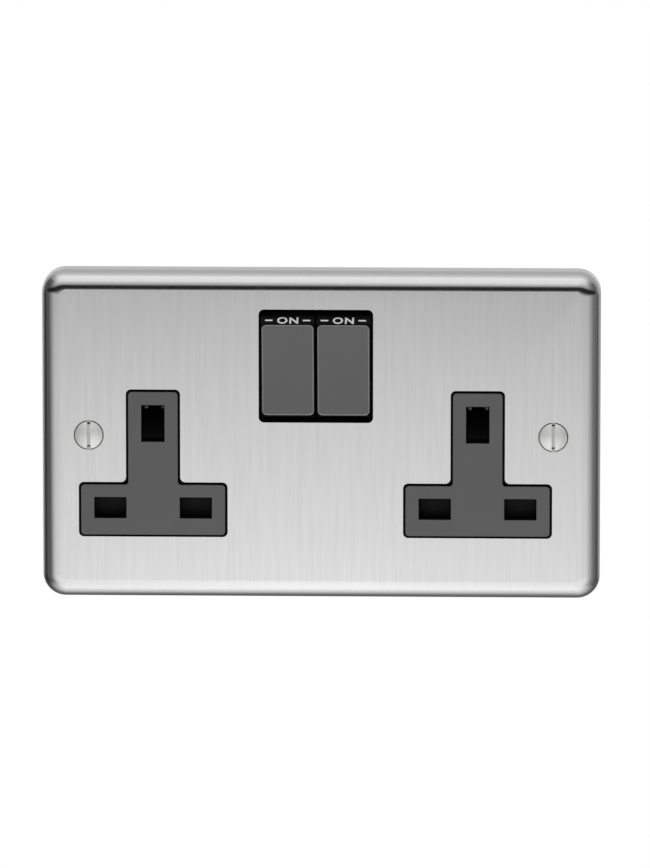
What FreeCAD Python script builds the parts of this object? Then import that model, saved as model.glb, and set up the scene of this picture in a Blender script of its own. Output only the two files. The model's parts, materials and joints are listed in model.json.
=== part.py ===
"""Flush metal twin wall socket with two rocker switches, built as it comes apart on a bench.

The frame's origin lies on the wall plane, midway between the two fixing screws.
X runs to the right, Z runs up and Y runs into the wall, so the front faces -Y.
Front view: live is the right slot of each socket, neutral the left one, earth the upright one.
"""
import FreeCAD, Part
import math
import os
import re
import Sketcher

Vector = FreeCAD.Vector

SIZES = (
    # Steel front plate
    ("plate_width", 145.0, "overall width of the plate"),
    ("plate_height", 86.0, "overall height of the plate"),
    ("plate_projection", 9.0, "wall plane to the face of the plate"),
    ("plate_sheet", 1.2, "steel thickness"),
    ("plate_corner", 6.0, "plan radius of the corners"),
    ("plate_edge_round", 4.0, "radius pressed round the front edge"),
    ("screw_margin", 12.2, "fixing screw to the end of the plate"),
    # Fixing screws, raised countersunk
    ("screw_shank_radius", 1.75, "thread radius"),
    ("screw_neck_radius", 1.55, "plain neck under the head"),
    ("screw_neck", 4.5, "length of the neck, to the start of the thread"),
    ("screw_head_radius", 3.6, "rim of the head"),
    ("screw_head_rise", 1.0, "height of the raised dome"),
    ("screw_head_cone", 2.0, "depth of the countersunk cone"),
    ("screw_length", 25.0, "rim of the head to the tip"),
    ("screw_slot_width", 0.9, "driver slot"),
    ("screw_slot_depth", 1.3, "driver slot, below the rim of the head"),
    ("dimple_margin", 0.3, "dimple in the plate, larger than the head"),
    ("dimple_room", 0.7, "dimple to the hole in the deck"),
    # Pin layout of the sockets
    ("left_margin", 28.9, "left socket to the end of the plate"),
    ("right_margin", 31.8, "right socket to the end of the plate"),
    ("line_pin_reach", 11.11, "socket centre to a live or neutral slot"),
    ("line_pin_margin", 24.0, "live and neutral slots to the lower edge of the plate"),
    ("earth_pin_rise", 22.23, "live and neutral slots to the earth slot"),
    ("line_slot_width", 7.9, "slot for a live or neutral pin"),
    ("line_slot_height", 5.1, "slot for a live or neutral pin"),
    ("earth_slot_width", 5.6, "slot for the earth pin"),
    ("earth_slot_height", 9.2, "slot for the earth pin"),
    ("slot_lead", 0.25, "chamfer round each slot"),
    ("line_pin_length", 17.7, "length of a live or neutral pin"),
    ("line_pin_thickness", 3.95, "live or neutral pin"),
    ("earth_pin_width", 7.95, "earth pin"),
    ("earth_pin_thickness", 3.97, "earth pin"),
    # Grey socket inserts, an upside-down T
    ("insert_bar_width", 37.4, "bar of the T"),
    ("insert_stem_width", 12.8, "stem of the T"),
    ("insert_foot", 7.1, "live and neutral slots down to the lower edge of the bar"),
    ("insert_bar_rise", 6.0, "live and neutral slots up to the upper edge of the bar"),
    ("insert_head", 8.2, "earth slot up to the upper edge of the stem"),
    ("insert_thickness", 3.0, "thickness of the insert"),
    ("insert_proud", 0.6, "insert in front of the plate"),
    ("insert_corner", 0.9, "corners of the insert"),
    ("opening_corner", 1.35, "corners of the opening round an insert"),
    ("insert_peg_radius", 1.0, "pegs that hold the insert"),
    ("peg_inset", 1.7, "upper peg to the end of the stem"),
    ("low_peg_inset", 2.2, "lower pegs to the lower edge of the bar"),
    # Gaps round the inserts
    ("seat_gap", 0.1, "insert to its black rim"),
    ("rim_width", 0.45, "black rim round an insert"),
    ("rim_below", 0.4, "black rim below the face of the plate"),
    ("plate_gap", 0.1, "black rim to the steel"),
    # Switch window and rockers
    ("window_middle", -1.3, "middle of the switch window across"),
    ("window_width", 29.7, "opening in the steel"),
    ("window_margin", 9.75, "opening to the upper edge of the plate"),
    ("window_height", 29.7, "opening in the steel"),
    ("window_corner", 1.4, "corners of the opening"),
    ("rocker_pitch", 14.4, "distance between the two rockers"),
    ("pivot_depth", 3.5, "rocker pivot in front of the wall plane"),
    ("pivot_rise", 15.25, "lower edge of the opening to the rocker pivot"),
    ("rocker_tilt", 8.0, "rocker angle either side of the middle"),
    ("dolly_width", 13.9, "black body of a rocker"),
    ("dolly_skirt_radius", 14.3, "skirt of the rocker, round its pivot"),
    ("dolly_skirt_wall", 1.3, "thickness of the skirt"),
    ("dolly_skirt_front", 4.1, "front end of the skirt, in front of the pivot"),
    ("dolly_skirt_back", 0.5, "rear end of the skirt, behind the pivot"),
    ("dolly_web", 1.9, "thickness of the front web of the rocker"),
    ("dolly_lip", 0.35, "black lip above and below the cap"),
    ("cap_width", 13.5, "grey cap"),
    ("cap_height", 24.5, "grey cap"),
    ("cap_thickness", 1.2, "grey cap"),
    ("cap_front", 8.1, "edge of the cap in front of the pivot"),
    ("cap_hollow", 0.3, "depth of the hollow of the cap"),
    ("cap_corner", 1.2, "corners of the cap"),
    ("cap_edge_round", 0.4, "front edges of the cap"),
    ("cap_peg_radius", 1.2, "pegs under the cap"),
    ("cap_peg_reach", 8.0, "pivot to a peg"),
    ("trunnion_radius", 1.5, "pivot pins of a rocker"),
    ("trunnion_gap", 0.08, "pivot pin to its bearing"),
    ("trunnion_entry", 1.0, "length of a pivot pin in its bearing"),
    ("cheek_reach", 5.7, "middle of a rocker to its cheek"),
    ("cheek_wall", 1.3, "thickness of a cheek"),
    ("cheek_rim", 0.3, "cheek round the pivot pin"),
    ("side_play", 0.3, "cheek to the bearing web"),
    ("boss_radius", 2.9, "boss that guides the plunger"),
    ("boss_back", 4.0, "end of the boss behind the pivot"),
    # Plunger and see-saw contact
    ("plunger_radius", 1.7, "plunger"),
    ("plunger_gap", 0.1, "plunger to its bore"),
    ("plunger_tip", 9.3, "pivot to the tip of the plunger"),
    ("plunger_inner", 1.0, "inner end of the plunger, in front of the pivot"),
    ("spring_wire", 0.35, "wire of the plunger spring"),
    ("spring_room", 4.0, "length of the plunger spring"),
    ("seesaw_play", 0.1, "plunger tip to the see-saw, rocker in the middle"),
    ("seesaw_thickness", 0.8, "see-saw"),
    ("seesaw_half", 8.0, "half the length of the see-saw"),
    ("seesaw_width", 5.6, "see-saw"),
    ("seesaw_tilt", 6.0, "see-saw angle either side of the middle"),
    ("seesaw_pin_radius", 0.6, "pivot pins of the see-saw"),
    ("seesaw_pin_gap", 0.08, "pivot pin to its ear"),
    ("contact_radius", 1.3, "contact button"),
    ("contact_rise", 0.7, "contact button of the see-saw"),
    ("contact_reach", 7.0, "pivot to the contact button"),
    ("contact_gap", 0.2, "open part of a fixed contact to the button"),
    # Black front moulding
    ("deck_gap", 0.2, "steel to the deck"),
    ("deck_thickness", 1.6, "deck of the moulding"),
    ("deck_end_room", 4.3, "steel to the ends of the deck"),
    ("deck_side_room", 3.5, "steel to the long sides of the deck"),
    ("deck_corner", 3.0, "corners of the deck"),
    ("parting", 2.0, "joint of moulding and base, behind the wall plane"),
    ("wall", 1.8, "walls of the moulding and the base"),
    ("block_foot", 11.7, "live and neutral slots down to the lower side of the block"),
    ("block_shoulder", -9.0, "step beside the wall box lugs"),
    ("block_head", 16.8, "rocker pivot up to the upper side of the block"),
    ("line_margin", 9.6, "outer slots to the side of the lower block"),
    ("earth_margin", 8.4, "earth slots to the side of the upper block"),
    ("block_corner", 2.0, "outer corners of the block"),
    ("well_wall", 1.5, "walls beside the rockers"),
    ("well_side_gap", 0.15, "rocker to the edge of the deck"),
    ("sweep_gap", 0.35, "skirt of a rocker to what it passes"),
    ("bearing_half", 4.5, "half height of a bearing web"),
    ("bearing_back", 2.7, "bearing web behind the pivot"),
    ("bridge_front", 0.5, "middle bridge, in front of the wall plane"),
    # Shutters
    ("shutter_thickness", 2.0, "shutter"),
    ("shutter_gap", 0.1, "seat of an insert to its shutter"),
    ("shutter_half", 15.6, "half width of the shutter bar"),
    ("shutter_cover", 0.8, "shutter bar beyond a slot"),
    ("shutter_travel", 6.2, "shutter stroke"),
    ("shutter_stem_half", 4.0, "half width of the shutter stem"),
    ("ramp_half", 2.8, "half width of the earth pin ramp"),
    ("ramp_start", 0.4, "ramp below the earth pin"),
    ("ramp_wall", 3.6, "thickness of the ramp, along the stroke"),
    ("rail_wall", 1.4, "guide rail"),
    ("rail_play", 0.2, "shutter to its rail"),
    ("rail_lip", 1.4, "lip of a rail over the shutter"),
    ("rail_lip_gap", 0.3, "shutter to the lip"),
    ("post_thickness", 1.0, "spring post, along the stroke"),
    ("post_half", 1.2, "half width of the spring post"),
    ("post_gap", 0.4, "spring post to its slot"),
    ("post_rise", 7.1, "live and neutral slots up to the top of the spring post"),
    ("return_room", 9.6, "length of the shutter spring"),
    ("return_wire", 0.3, "wire of the shutter spring"),
    ("return_radius", 0.75, "middle of the wire of the shutter spring"),
    # Brass work
    ("strip", 0.8, "thickness of the brass strips"),
    ("clip_width", 5.5, "width of a live or neutral clip"),
    ("clip_pinch", 0.35, "clip tighter than the pin"),
    ("clip_front", 2.0, "mouth of a clip in front of the wall plane"),
    ("clip_clearance", 0.2, "pin tip to the back of its clip"),
    ("earth_clip_height", 6.0, "height of an earth clip"),
    ("earth_clip_front", 2.1, "mouth of an earth clip behind the wall plane"),
    ("arm_width", 4.0, "width of the live arms and legs"),
    ("live_arm_depth", 10.6, "front of the live arms behind the wall plane"),
    ("live_bar_depth", 8.0, "front of the live bar behind the wall plane"),
    ("earth_bar_depth", 13.5, "front of the earth bar behind the wall plane"),
    ("neutral_bar_depth", 0.6, "front of the neutral bar behind the wall plane"),
    ("neutral_bar_drop", 5.7, "live and neutral slots down to the neutral bar"),
    ("neutral_bar_height", 3.0, "neutral bar"),
    ("arm_run_rise", 6.9, "live slots up to the live arms' run"),
    ("left_drop_reach", 18.6, "left socket to the middle of its live arm"),
    ("right_drop_reach", 18.7, "right socket to the middle of its live arm"),
    ("live_bar_half", 2.5, "half height of the live bar"),
    ("ear_wall", 0.8, "ears that carry a see-saw"),
    ("ear_play", 0.4, "see-saw to an ear"),
    ("ear_half", 1.6, "half height of an ear"),
    ("ear_front", 1.5, "ear in front of the see-saw's pivot"),
    ("finger_width", 3.0, "spring finger that earths the plate"),
    ("finger_strip", 0.6, "thickness of the spring finger"),
    ("finger_middle", -1.4, "middle of the spring finger across"),
    ("finger_rise", 10.3, "live and neutral slots up to the spring finger"),
    ("finger_pad", 3.0, "bent ends of the spring finger"),
    ("finger_room", 0.6, "spring finger to its slot in the deck"),
    # Terminals
    ("terminal_pitch", 10.0, "distance between terminals"),
    ("terminal_start", -16.4, "middle of the neutral terminal"),
    ("terminal_width", 8.4, "terminal block"),
    ("terminal_foot", 2.0, "lower side of the block up to the terminals"),
    ("terminal_height", 9.0, "terminal block"),
    ("terminal_front", 3.0, "front of a terminal behind the wall plane"),
    ("terminal_back", 13.0, "back of a terminal behind the wall plane"),
    ("cable_bore_radius", 2.1, "cable bore"),
    ("cable_bore_depth", 6.7, "middle of the cable bore behind the wall plane"),
    ("terminal_screw_radius", 1.75, "terminal screw"),
    ("terminal_screw_tip", 0.3, "chamfer at the tip of the terminal screw"),
    ("terminal_screw_head", 2.7, "radius of the terminal screw's head"),
    ("terminal_screw_rise", 2.0, "height of the terminal screw's head"),
    ("terminal_screw_clear", 0.2, "tip of the screw to the cable bore"),
    # Rear base
    ("base_back", 17.0, "rear of the base behind the wall plane"),
    ("base_edge", 0.8, "chamfer round the rear of the base"),
    ("barrier", 1.4, "barriers between terminals"),
    ("terminal_drop", 0.3, "barriers below the top of the terminals"),
    ("cable_slot_half", 2.7, "half width of a cable slot"),
    ("cable_slot_margin", 0.9, "cable slot beyond the cable bore"),
    ("tool_hole_radius", 3.2, "holes for the driver"),
    ("boss_wall_radius", 2.4, "bosses of the base screws"),
    ("boss_inset", 3.9, "middle of a boss to the side of the block"),
    ("base_screw_radius", 1.2, "base screw"),
    ("base_screw_head", 2.6, "radius of a base screw's head"),
    ("base_screw_rise", 1.6, "height of a base screw's head"),
    ("base_screw_entry", 4.5, "base screw in the front moulding"),
    ("base_screw_gap", 0.2, "base screw to the hole in the base"),
    ("pilot_gap", 0.05, "base screw to its pilot hole"),
    ("rib_half", 1.5, "half width of the ribs behind the brass work"),
    # Studs of the plate
    ("stud_radius", 1.25, "studs welded to the plate"),
    ("stud_end", 1.8, "stud behind the deck"),
    ("stud_gap", 0.25, "stud to its hole in the deck"),
    ("stud_margin", 14.5, "upper studs to the end of the plate"),
    ("stud_top_margin", 18.0, "upper studs to the upper edge of the plate"),
    ("stud_low_margin", 32.5, "lower studs to the end of the plate"),
    ("stud_foot_margin", 8.6, "lower studs to the lower edge of the plate"),
    ("nut_radius", 3.0, "push nut"),
    ("nut_sheet", 0.5, "push nut"),
    ("nut_gap", 0.03, "push nut to its stud"),
)

PLACES = (
    ("plate_face", "-plate_projection"),
    ("plate_inner", "plate_face + plate_sheet"),
    ("screw_x", "plate_width / 2 - screw_margin"),
    ("left_socket", "left_margin - plate_width / 2"),
    ("right_socket", "plate_width / 2 - right_margin"),
    ("line_pin_level", "line_pin_margin - plate_height / 2"),
    ("earth_pin_level", "line_pin_level + earth_pin_rise"),
    ("insert_bottom", "line_pin_level - insert_foot"),
    ("insert_shoulder", "line_pin_level + insert_bar_rise"),
    ("insert_top", "earth_pin_level + insert_head"),
    ("window_top", "plate_height / 2 - window_margin"),
    ("window_bottom", "window_top - window_height"),
    ("pivot_level", "window_bottom + pivot_rise"),
    ("deck_width", "plate_width - 2 * (plate_sheet + deck_end_room)"),
    ("deck_height", "plate_height - 2 * (plate_sheet + deck_side_room)"),
    ("deck_front", "plate_inner + deck_gap"),
    ("deck_rear", "deck_front + deck_thickness"),
    ("insert_front", "plate_face - insert_proud"),
    ("insert_rear", "insert_front + insert_thickness"),
    ("seat_rear", "insert_rear + deck_thickness"),
    ("rim_front", "plate_face + rim_below"),
    ("rim_offset", "seat_gap + rim_width"),
    ("cut_offset", "rim_offset + plate_gap"),
    ("left_rocker", "window_middle - rocker_pitch / 2"),
    ("right_rocker", "window_middle + rocker_pitch / 2"),
    ("sweep_radius", "dolly_skirt_radius + sweep_gap"),
    ("well_half", "(rocker_pitch + dolly_width) / 2 + well_side_gap"),
    ("well_left", "window_middle - well_half"),
    ("well_right", "window_middle + well_half"),
    ("well_low", "pivot_level - sweep_radius - sweep_gap"),
    ("web_reach", "cheek_reach + side_play"),
    ("block_bottom", "line_pin_level - block_foot"),
    ("block_top", "pivot_level + block_head"),
    ("block_left", "left_socket - line_pin_reach - line_margin"),
    ("block_right", "right_socket + line_pin_reach + line_margin"),
    ("upper_left", "left_socket - earth_margin"),
    ("upper_right", "right_socket + earth_margin"),
    ("cap_seat", "cap_front - cap_thickness"),
    ("web_back", "cap_seat - dolly_web"),
    ("shutter_front", "seat_rear + shutter_gap"),
    ("shutter_rear", "shutter_front + shutter_thickness"),
    ("bar_top", "line_pin_level + line_slot_height / 2 + shutter_cover"),
    ("bar_bottom", "line_pin_level - line_slot_height / 2 - shutter_cover"),
    ("ramp_foot", "earth_pin_level - earth_pin_width / 2 - ramp_start"),
    ("ramp_peak", "ramp_foot + shutter_travel"),
    ("ramp_back", "shutter_front + shutter_travel"),
    ("post_top", "line_pin_level + post_rise"),
    ("post_bottom", "post_top - post_thickness"),
    ("spring_slot_top", "post_top + return_room"),
    ("spring_slot_bottom", "post_bottom - post_gap"),
    ("rail_inner", "shutter_half + rail_play"),
    ("line_tip", "insert_front + line_pin_length"),
    ("clip_half", "(line_pin_thickness - clip_pinch) / 2"),
    ("clip_outer", "clip_half + strip"),
    ("clip_mouth", "-clip_front"),
    ("neutral_bar_top", "line_pin_level - neutral_bar_drop"),
    ("neutral_bar_bottom", "neutral_bar_top - neutral_bar_height"),
    ("neutral_clip_back", "line_tip + clip_clearance + strip"),
    ("arm_run_top", "line_pin_level + arm_run_rise"),
    ("left_drop", "left_socket + left_drop_reach"),
    ("right_drop", "right_socket - right_drop_reach"),
    ("live_arm_back", "live_arm_depth + strip"),
    ("live_bar_back", "live_bar_depth + strip"),
    ("earth_bar_back", "earth_bar_depth + strip"),
    ("neutral_bar_back", "neutral_bar_depth + strip"),
    ("earth_clip_half", "(earth_pin_thickness - clip_pinch) / 2"),
    ("earth_clip_outer", "earth_clip_half + strip"),
    ("earth_low", "earth_pin_level - earth_clip_height / 2"),
    ("earth_high", "earth_pin_level + earth_clip_height / 2"),
    ("seesaw_pivot", "plunger_tip - pivot_depth + seesaw_play + seesaw_thickness - seesaw_pin_radius"),
    ("finger_level", "line_pin_level + finger_rise"),
    ("terminal_bottom", "block_bottom + terminal_foot"),
    ("terminal_top", "terminal_bottom + terminal_height"),
    ("terminal_middle", "(terminal_top + terminal_bottom) / 2"),
    ("first_earth", "terminal_start + terminal_pitch"),
    ("second_earth", "terminal_start + 2 * terminal_pitch"),
    ("live_terminal", "terminal_start + 3 * terminal_pitch"),
    ("base_floor", "base_back - wall"),
    ("inner_bottom", "block_bottom + wall"),
    ("stud_side", "plate_width / 2 - stud_margin"),
    ("stud_rise", "plate_height / 2 - stud_top_margin"),
    ("stud_low_side", "plate_width / 2 - stud_low_margin"),
    ("stud_low_level", "stud_foot_margin - plate_height / 2"),
)

SIZE_NAMES = {name for name, _, _ in SIZES}
PLACE_NAMES = {name for name, _ in PLACES}

doc = FreeCAD.newDocument("twin_socket")
sizes = doc.addObject("Spreadsheet::Sheet", "Sizes")
places = doc.addObject("Spreadsheet::Sheet", "Places")


def cell(text):
    """Point the plain words of an expression at the cells that hold them."""
    def reference(match):
        word = match.group(0)
        if word in SIZE_NAMES:
            return "Sizes." + word
        if word in PLACE_NAMES:
            return "Places." + word
        return word
    return re.sub(r"[a-z_]+", reference, text)


def fill_sheets():
    """Write the driving sizes and the places worked out from them."""
    for row, (name, value, note) in enumerate(SIZES, start=1):
        sizes.set(f"A{row}", name)
        sizes.set(f"B{row}", str(value))
        sizes.set(f"C{row}", note)
        sizes.setAlias(f"B{row}", name)
    doc.recompute()
    for row, (name, text) in enumerate(PLACES, start=1):
        places.set(f"A{row}", name)
        places.set(f"B{row}", "=" + cell(text))
        places.setAlias(f"B{row}", name)
        doc.recompute()


def number(text):
    """Value of an expression at the present sizes."""
    return float(sizes.evalExpression(cell(text)))


# Sketches and features

PLANES = {"X": "YZ_Plane", "Y": "XZ_Plane", "Z": "XY_Plane"}
bodies = []


def new_body(label):
    """Start the body of one piece."""
    body = doc.addObject("PartDesign::Body", label)
    body.Label = label
    bodies.append(body)
    return body


def place(body, across="0", depth="0", level="0", tilt=None):
    """Bind a body's place, and its turn about X in degrees."""
    if tilt:
        body.Placement = FreeCAD.Placement(Vector(), FreeCAD.Rotation(Vector(1, 0, 0), 1))
        body.setExpression("Placement.Rotation.Angle", cell(tilt) + " * 1 deg")
    body.setExpression("Placement.Base.x", cell(across))
    body.setExpression("Placement.Base.y", cell(depth))
    body.setExpression("Placement.Base.z", cell(level))


def new_sketch(body, name, axis):
    """Start a sketch on the body's own plane square to an axis."""
    sketch = body.newObject("Sketcher::SketchObject", name + "_sketch")
    plane = next(item for item in body.Origin.OriginFeatures if item.Role == PLANES[axis])
    sketch.AttachmentSupport = [(plane, "")]
    sketch.MapMode = "FlatFace"
    return sketch


def bowed(start, end, radius):
    """Arc from start to end; a positive radius bows to the right of the way."""
    chord = end - start
    half = chord.Length / 2
    right = Vector(chord.y, -chord.x, 0).normalize() * math.copysign(1, radius)
    reach = abs(radius)
    centre = (start + end) * 0.5 - right * math.sqrt(max(reach * reach - half * half, 0.0))
    first = math.atan2(start.y - centre.y, start.x - centre.x)
    last = math.atan2(end.y - centre.y, end.x - centre.x)
    if radius < 0:
        first, last = last, first
    if last < first:
        last += 2 * math.pi
    return Part.ArcOfCircle(Part.Circle(centre, Vector(0, 0, 1), reach), first, last)


def circle(across, level, radius):
    """A round outline."""
    return {"centre": (across, level), "radius": radius}


def draw_circle(sketch, ring):
    """Draw a circle whose place and radius are bound to the sheets."""
    centre = ring["centre"]
    middle = Vector(number(centre[0]), number(centre[1]), 0)
    drawn = sketch.addGeometry(Part.Circle(middle, Vector(0, 0, 1), number(ring["radius"])))
    for kind, text in (("DistanceX", centre[0]), ("DistanceY", centre[1])):
        made = sketch.addConstraint(Sketcher.Constraint(kind, -1, 1, drawn, 3, number(text)))
        sketch.setExpression(f"Constraints[{made}]", cell(text))
    made = sketch.addConstraint(Sketcher.Constraint("Radius", drawn, number(ring["radius"])))
    sketch.setExpression(f"Constraints[{made}]", cell(ring["radius"]))


def draw(sketch, points):
    """Draw a closed outline; a third entry of a point bows the stretch after it."""
    first_drawn = len(sketch.Geometry)
    spots = [Vector(number(point[0]), number(point[1]), 0) for point in points]
    count = len(points)
    ends = []
    for index, point in enumerate(points):
        start = spots[index]
        end = spots[(index + 1) % count]
        if len(point) == 2:
            stretch = Part.LineSegment(start, end)
        else:
            stretch = bowed(start, end, number(point[2]))
        added = sketch.addGeometry(stretch)
        drawn = sketch.Geometry[added]
        first = 1 if (drawn.StartPoint - start).Length < (drawn.EndPoint - start).Length else 2
        ends.append((first, 3 - first))
    for index in range(count):
        following = (index + 1) % count
        sketch.addConstraint(Sketcher.Constraint(
            "Coincident", first_drawn + index, ends[index][1], first_drawn + following, ends[following][0]))
    for index, point in enumerate(points):
        drawn = first_drawn + index
        for kind, text in (("DistanceX", point[0]), ("DistanceY", point[1])):
            made = sketch.addConstraint(
                Sketcher.Constraint(kind, -1, 1, drawn, ends[index][0], number(text)))
            sketch.setExpression(f"Constraints[{made}]", cell(text))
        if len(point) == 3:
            made = sketch.addConstraint(
                Sketcher.Constraint("Radius", drawn, abs(number(point[2]))))
            sketch.setExpression(f"Constraints[{made}]", f"abs({cell(point[2])})")


def rounded(points, radius):
    """Round the corners of a square-cornered outline; a third entry is a corner's own radius."""
    result = []
    count = len(points)
    for index, point in enumerate(points):
        own = point[2] if len(point) == 3 else radius
        if own is None:
            result.append((point[0], point[1]))
            continue
        before = points[index - 1]
        after = points[(index + 1) % count]
        here = (number(point[0]), number(point[1]))
        back = (number(before[0]) - here[0], number(before[1]) - here[1])
        ahead = (number(after[0]) - here[0], number(after[1]) - here[1])
        entry = shifted(point, back, own)
        leave = shifted(point, ahead, own)
        turn = back[0] * ahead[1] - back[1] * ahead[0]
        sign = "" if turn < 0 else "-"
        result.append((entry[0], entry[1], f"{sign}({own})"))
        result.append(leave)
    return result


def shifted(point, way, step):
    """A point moved by a step along the main direction of way."""
    if abs(way[0]) > abs(way[1]):
        sign = "+" if way[0] > 0 else "-"
        return (f"{point[0]} {sign} ({step})", point[1])
    sign = "+" if way[1] > 0 else "-"
    return (point[0], f"{point[1]} {sign} ({step})")


def rectangle(left, right, low, high):
    """Corners of a rectangle, anticlockwise."""
    return [(left, low), (right, low), (right, high), (left, high)]


def offset_along(sketch, axis, low, high):
    """Set a sketch where its feature starts, so that the feature runs along its normal."""
    start = f"-({cell(high)})" if axis == "Y" else cell(low)
    sketch.setExpression("AttachmentOffset.Base.z", start)


def finish_feature(body, feature, before, cutting):
    """Recompute and make sure that the feature changed the solid the way it should."""
    doc.recompute()
    if "Invalid" in feature.State or "Error" in feature.State:
        raise RuntimeError(f"{body.Label}: {feature.Name} failed")
    change = body.Shape.Volume - before
    if (change > -1e-6) if cutting else (change < 1e-6):
        raise RuntimeError(f"{body.Label}: {feature.Name} changed nothing")


def prism(body, name, axis, outlines, low, high, cut=False):
    """Pad or pocket one or more outlines between two levels of an axis."""
    before = body.Shape.Volume if body.Tip else 0.0
    sketch = new_sketch(body, name, axis)
    offset_along(sketch, axis, low, high)
    for outline in outlines:
        if isinstance(outline, dict):
            draw_circle(sketch, outline)
        else:
            draw(sketch, outline)
    feature = body.newObject("PartDesign::Pocket" if cut else "PartDesign::Pad", name)
    feature.Refine = False
    feature.Profile = sketch
    feature.setExpression("Length", f"{cell(high)} - ({cell(low)})")
    if cut:
        feature.Reversed = True
    finish_feature(body, feature, before, cut)
    return feature


def rod(body, name, axis, centre, radius, low, high, cut=False):
    """Pad or pocket a circle between two levels of an axis."""
    return prism(body, name, axis, [circle(centre[0], centre[1], radius)], low, high, cut)


def turned(body, name, points, across="0", level="0", cut=False):
    """Turn an outline of radius and depth about an axis along Y."""
    before = body.Shape.Volume if body.Tip else 0.0
    sketch = new_sketch(body, name, "Z")
    sketch.setExpression("AttachmentOffset.Base.x", cell(across))
    sketch.setExpression("AttachmentOffset.Base.z", cell(level))
    draw(sketch, points)
    feature = body.newObject("PartDesign::Groove" if cut else "PartDesign::Revolution", name)
    feature.Refine = False
    feature.Profile = sketch
    feature.ReferenceAxis = (sketch, ["V_Axis"])
    feature.Angle = 360
    finish_feature(body, feature, before, cut)
    return feature


def box(body, name, left, right, front, back, low, high, cut=False):
    """Pad or pocket a block given by its six sides."""
    return prism(body, name, "Y", [rectangle(left, right, low, high)], front, back, cut)


def soften(body, name, kind, size, picked):
    """Fillet or chamfer the picked edges of the body's present solid."""
    names = [f"Edge{index}" for index, edge in enumerate(body.Shape.Edges, start=1) if picked(edge)]
    if not names:
        raise RuntimeError(f"{body.Label}: {name} found no edge")
    base = body.Tip
    feature = body.newObject("PartDesign::" + kind, name)
    feature.Base = (base, names)
    feature.setExpression("Radius" if kind == "Fillet" else "Size", cell(size))
    doc.recompute()
    if "Invalid" in feature.State or "Error" in feature.State:
        raise RuntimeError(f"{body.Label}: {name} failed")
    return feature


def lies_at(edge, depth, reach=1e-4):
    """Whether an edge lies wholly at one depth."""
    bounds = edge.BoundBox
    return abs(bounds.YMin - depth) < reach and abs(bounds.YMax - depth) < reach


# Pieces

SIDES = ("left", "right")
STUDS = (("-stud_side", "stud_rise"), ("stud_side", "stud_rise"),
         ("-stud_low_side", "stud_low_level"), ("stud_low_side", "stud_low_level"))
BASE_SCREWS = (("upper_left + boss_inset", "block_top - boss_inset"),
               ("upper_right - boss_inset", "block_top - boss_inset"),
               ("block_left + boss_inset", "block_shoulder - boss_inset"),
               ("block_right - boss_inset", "block_shoulder - boss_inset"))
TERMINALS = (("neutral_terminal", "terminal_start"), ("earth_terminal_left", "first_earth"),
             ("earth_terminal_right", "second_earth"), ("live_terminal", "live_terminal"))
INSERT_PEGS = (("0", "insert_top - peg_inset"),
               ("-line_pin_reach / 2", "insert_bottom + low_peg_inset"),
               ("line_pin_reach / 2", "insert_bottom + low_peg_inset"))


def t_outline(middle, grow, corner):
    """Upside-down T of a socket insert, grown all round."""
    bar = f"(insert_bar_width / 2 + {grow})"
    stem = f"(insert_stem_width / 2 + {grow})"
    points = [(f"{middle} - {bar}", f"insert_bottom - {grow}"),
              (f"{middle} + {bar}", f"insert_bottom - {grow}"),
              (f"{middle} + {bar}", f"insert_shoulder + {grow}"),
              (f"{middle} + {stem}", f"insert_shoulder + {grow}"),
              (f"{middle} + {stem}", f"insert_top + {grow}"),
              (f"{middle} - {stem}", f"insert_top + {grow}"),
              (f"{middle} - {stem}", f"insert_shoulder + {grow}"),
              (f"{middle} - {bar}", f"insert_shoulder + {grow}")]
    return rounded(points, corner)


def pin_slots(middle, grow):
    """Names and outlines of the three slots of a socket, grown all round."""
    line_half = f"(line_slot_width / 2 + {grow})"
    line_rise = f"(line_slot_height / 2 + {grow})"
    slots = []
    for name, sign in (("neutral", "-"), ("live", "+")):
        across = f"{middle} {sign} line_pin_reach"
        slots.append((name, rectangle(f"{across} - {line_half}", f"{across} + {line_half}",
                                      f"line_pin_level - {line_rise}", f"line_pin_level + {line_rise}")))
    earth_half = f"(earth_slot_width / 2 + {grow})"
    earth_rise = f"(earth_slot_height / 2 + {grow})"
    slots.append(("earth", rectangle(f"{middle} - {earth_half}", f"{middle} + {earth_half}",
                                     f"earth_pin_level - {earth_rise}", f"earth_pin_level + {earth_rise}")))
    return slots


def block_outline(inset, corner):
    """The mechanism block seen from the front, drawn in by an inset."""
    points = [(f"block_left + {inset}", f"block_bottom + {inset}"),
              (f"block_right - {inset}", f"block_bottom + {inset}"),
              (f"block_right - {inset}", f"block_shoulder - {inset}"),
              (f"upper_right - {inset}", f"block_shoulder - {inset}"),
              (f"upper_right - {inset}", f"block_top - {inset}"),
              (f"upper_left + {inset}", f"block_top - {inset}"),
              (f"upper_left + {inset}", f"block_shoulder - {inset}"),
              (f"block_left + {inset}", f"block_shoulder - {inset}")]
    return rounded(points, corner)


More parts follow.
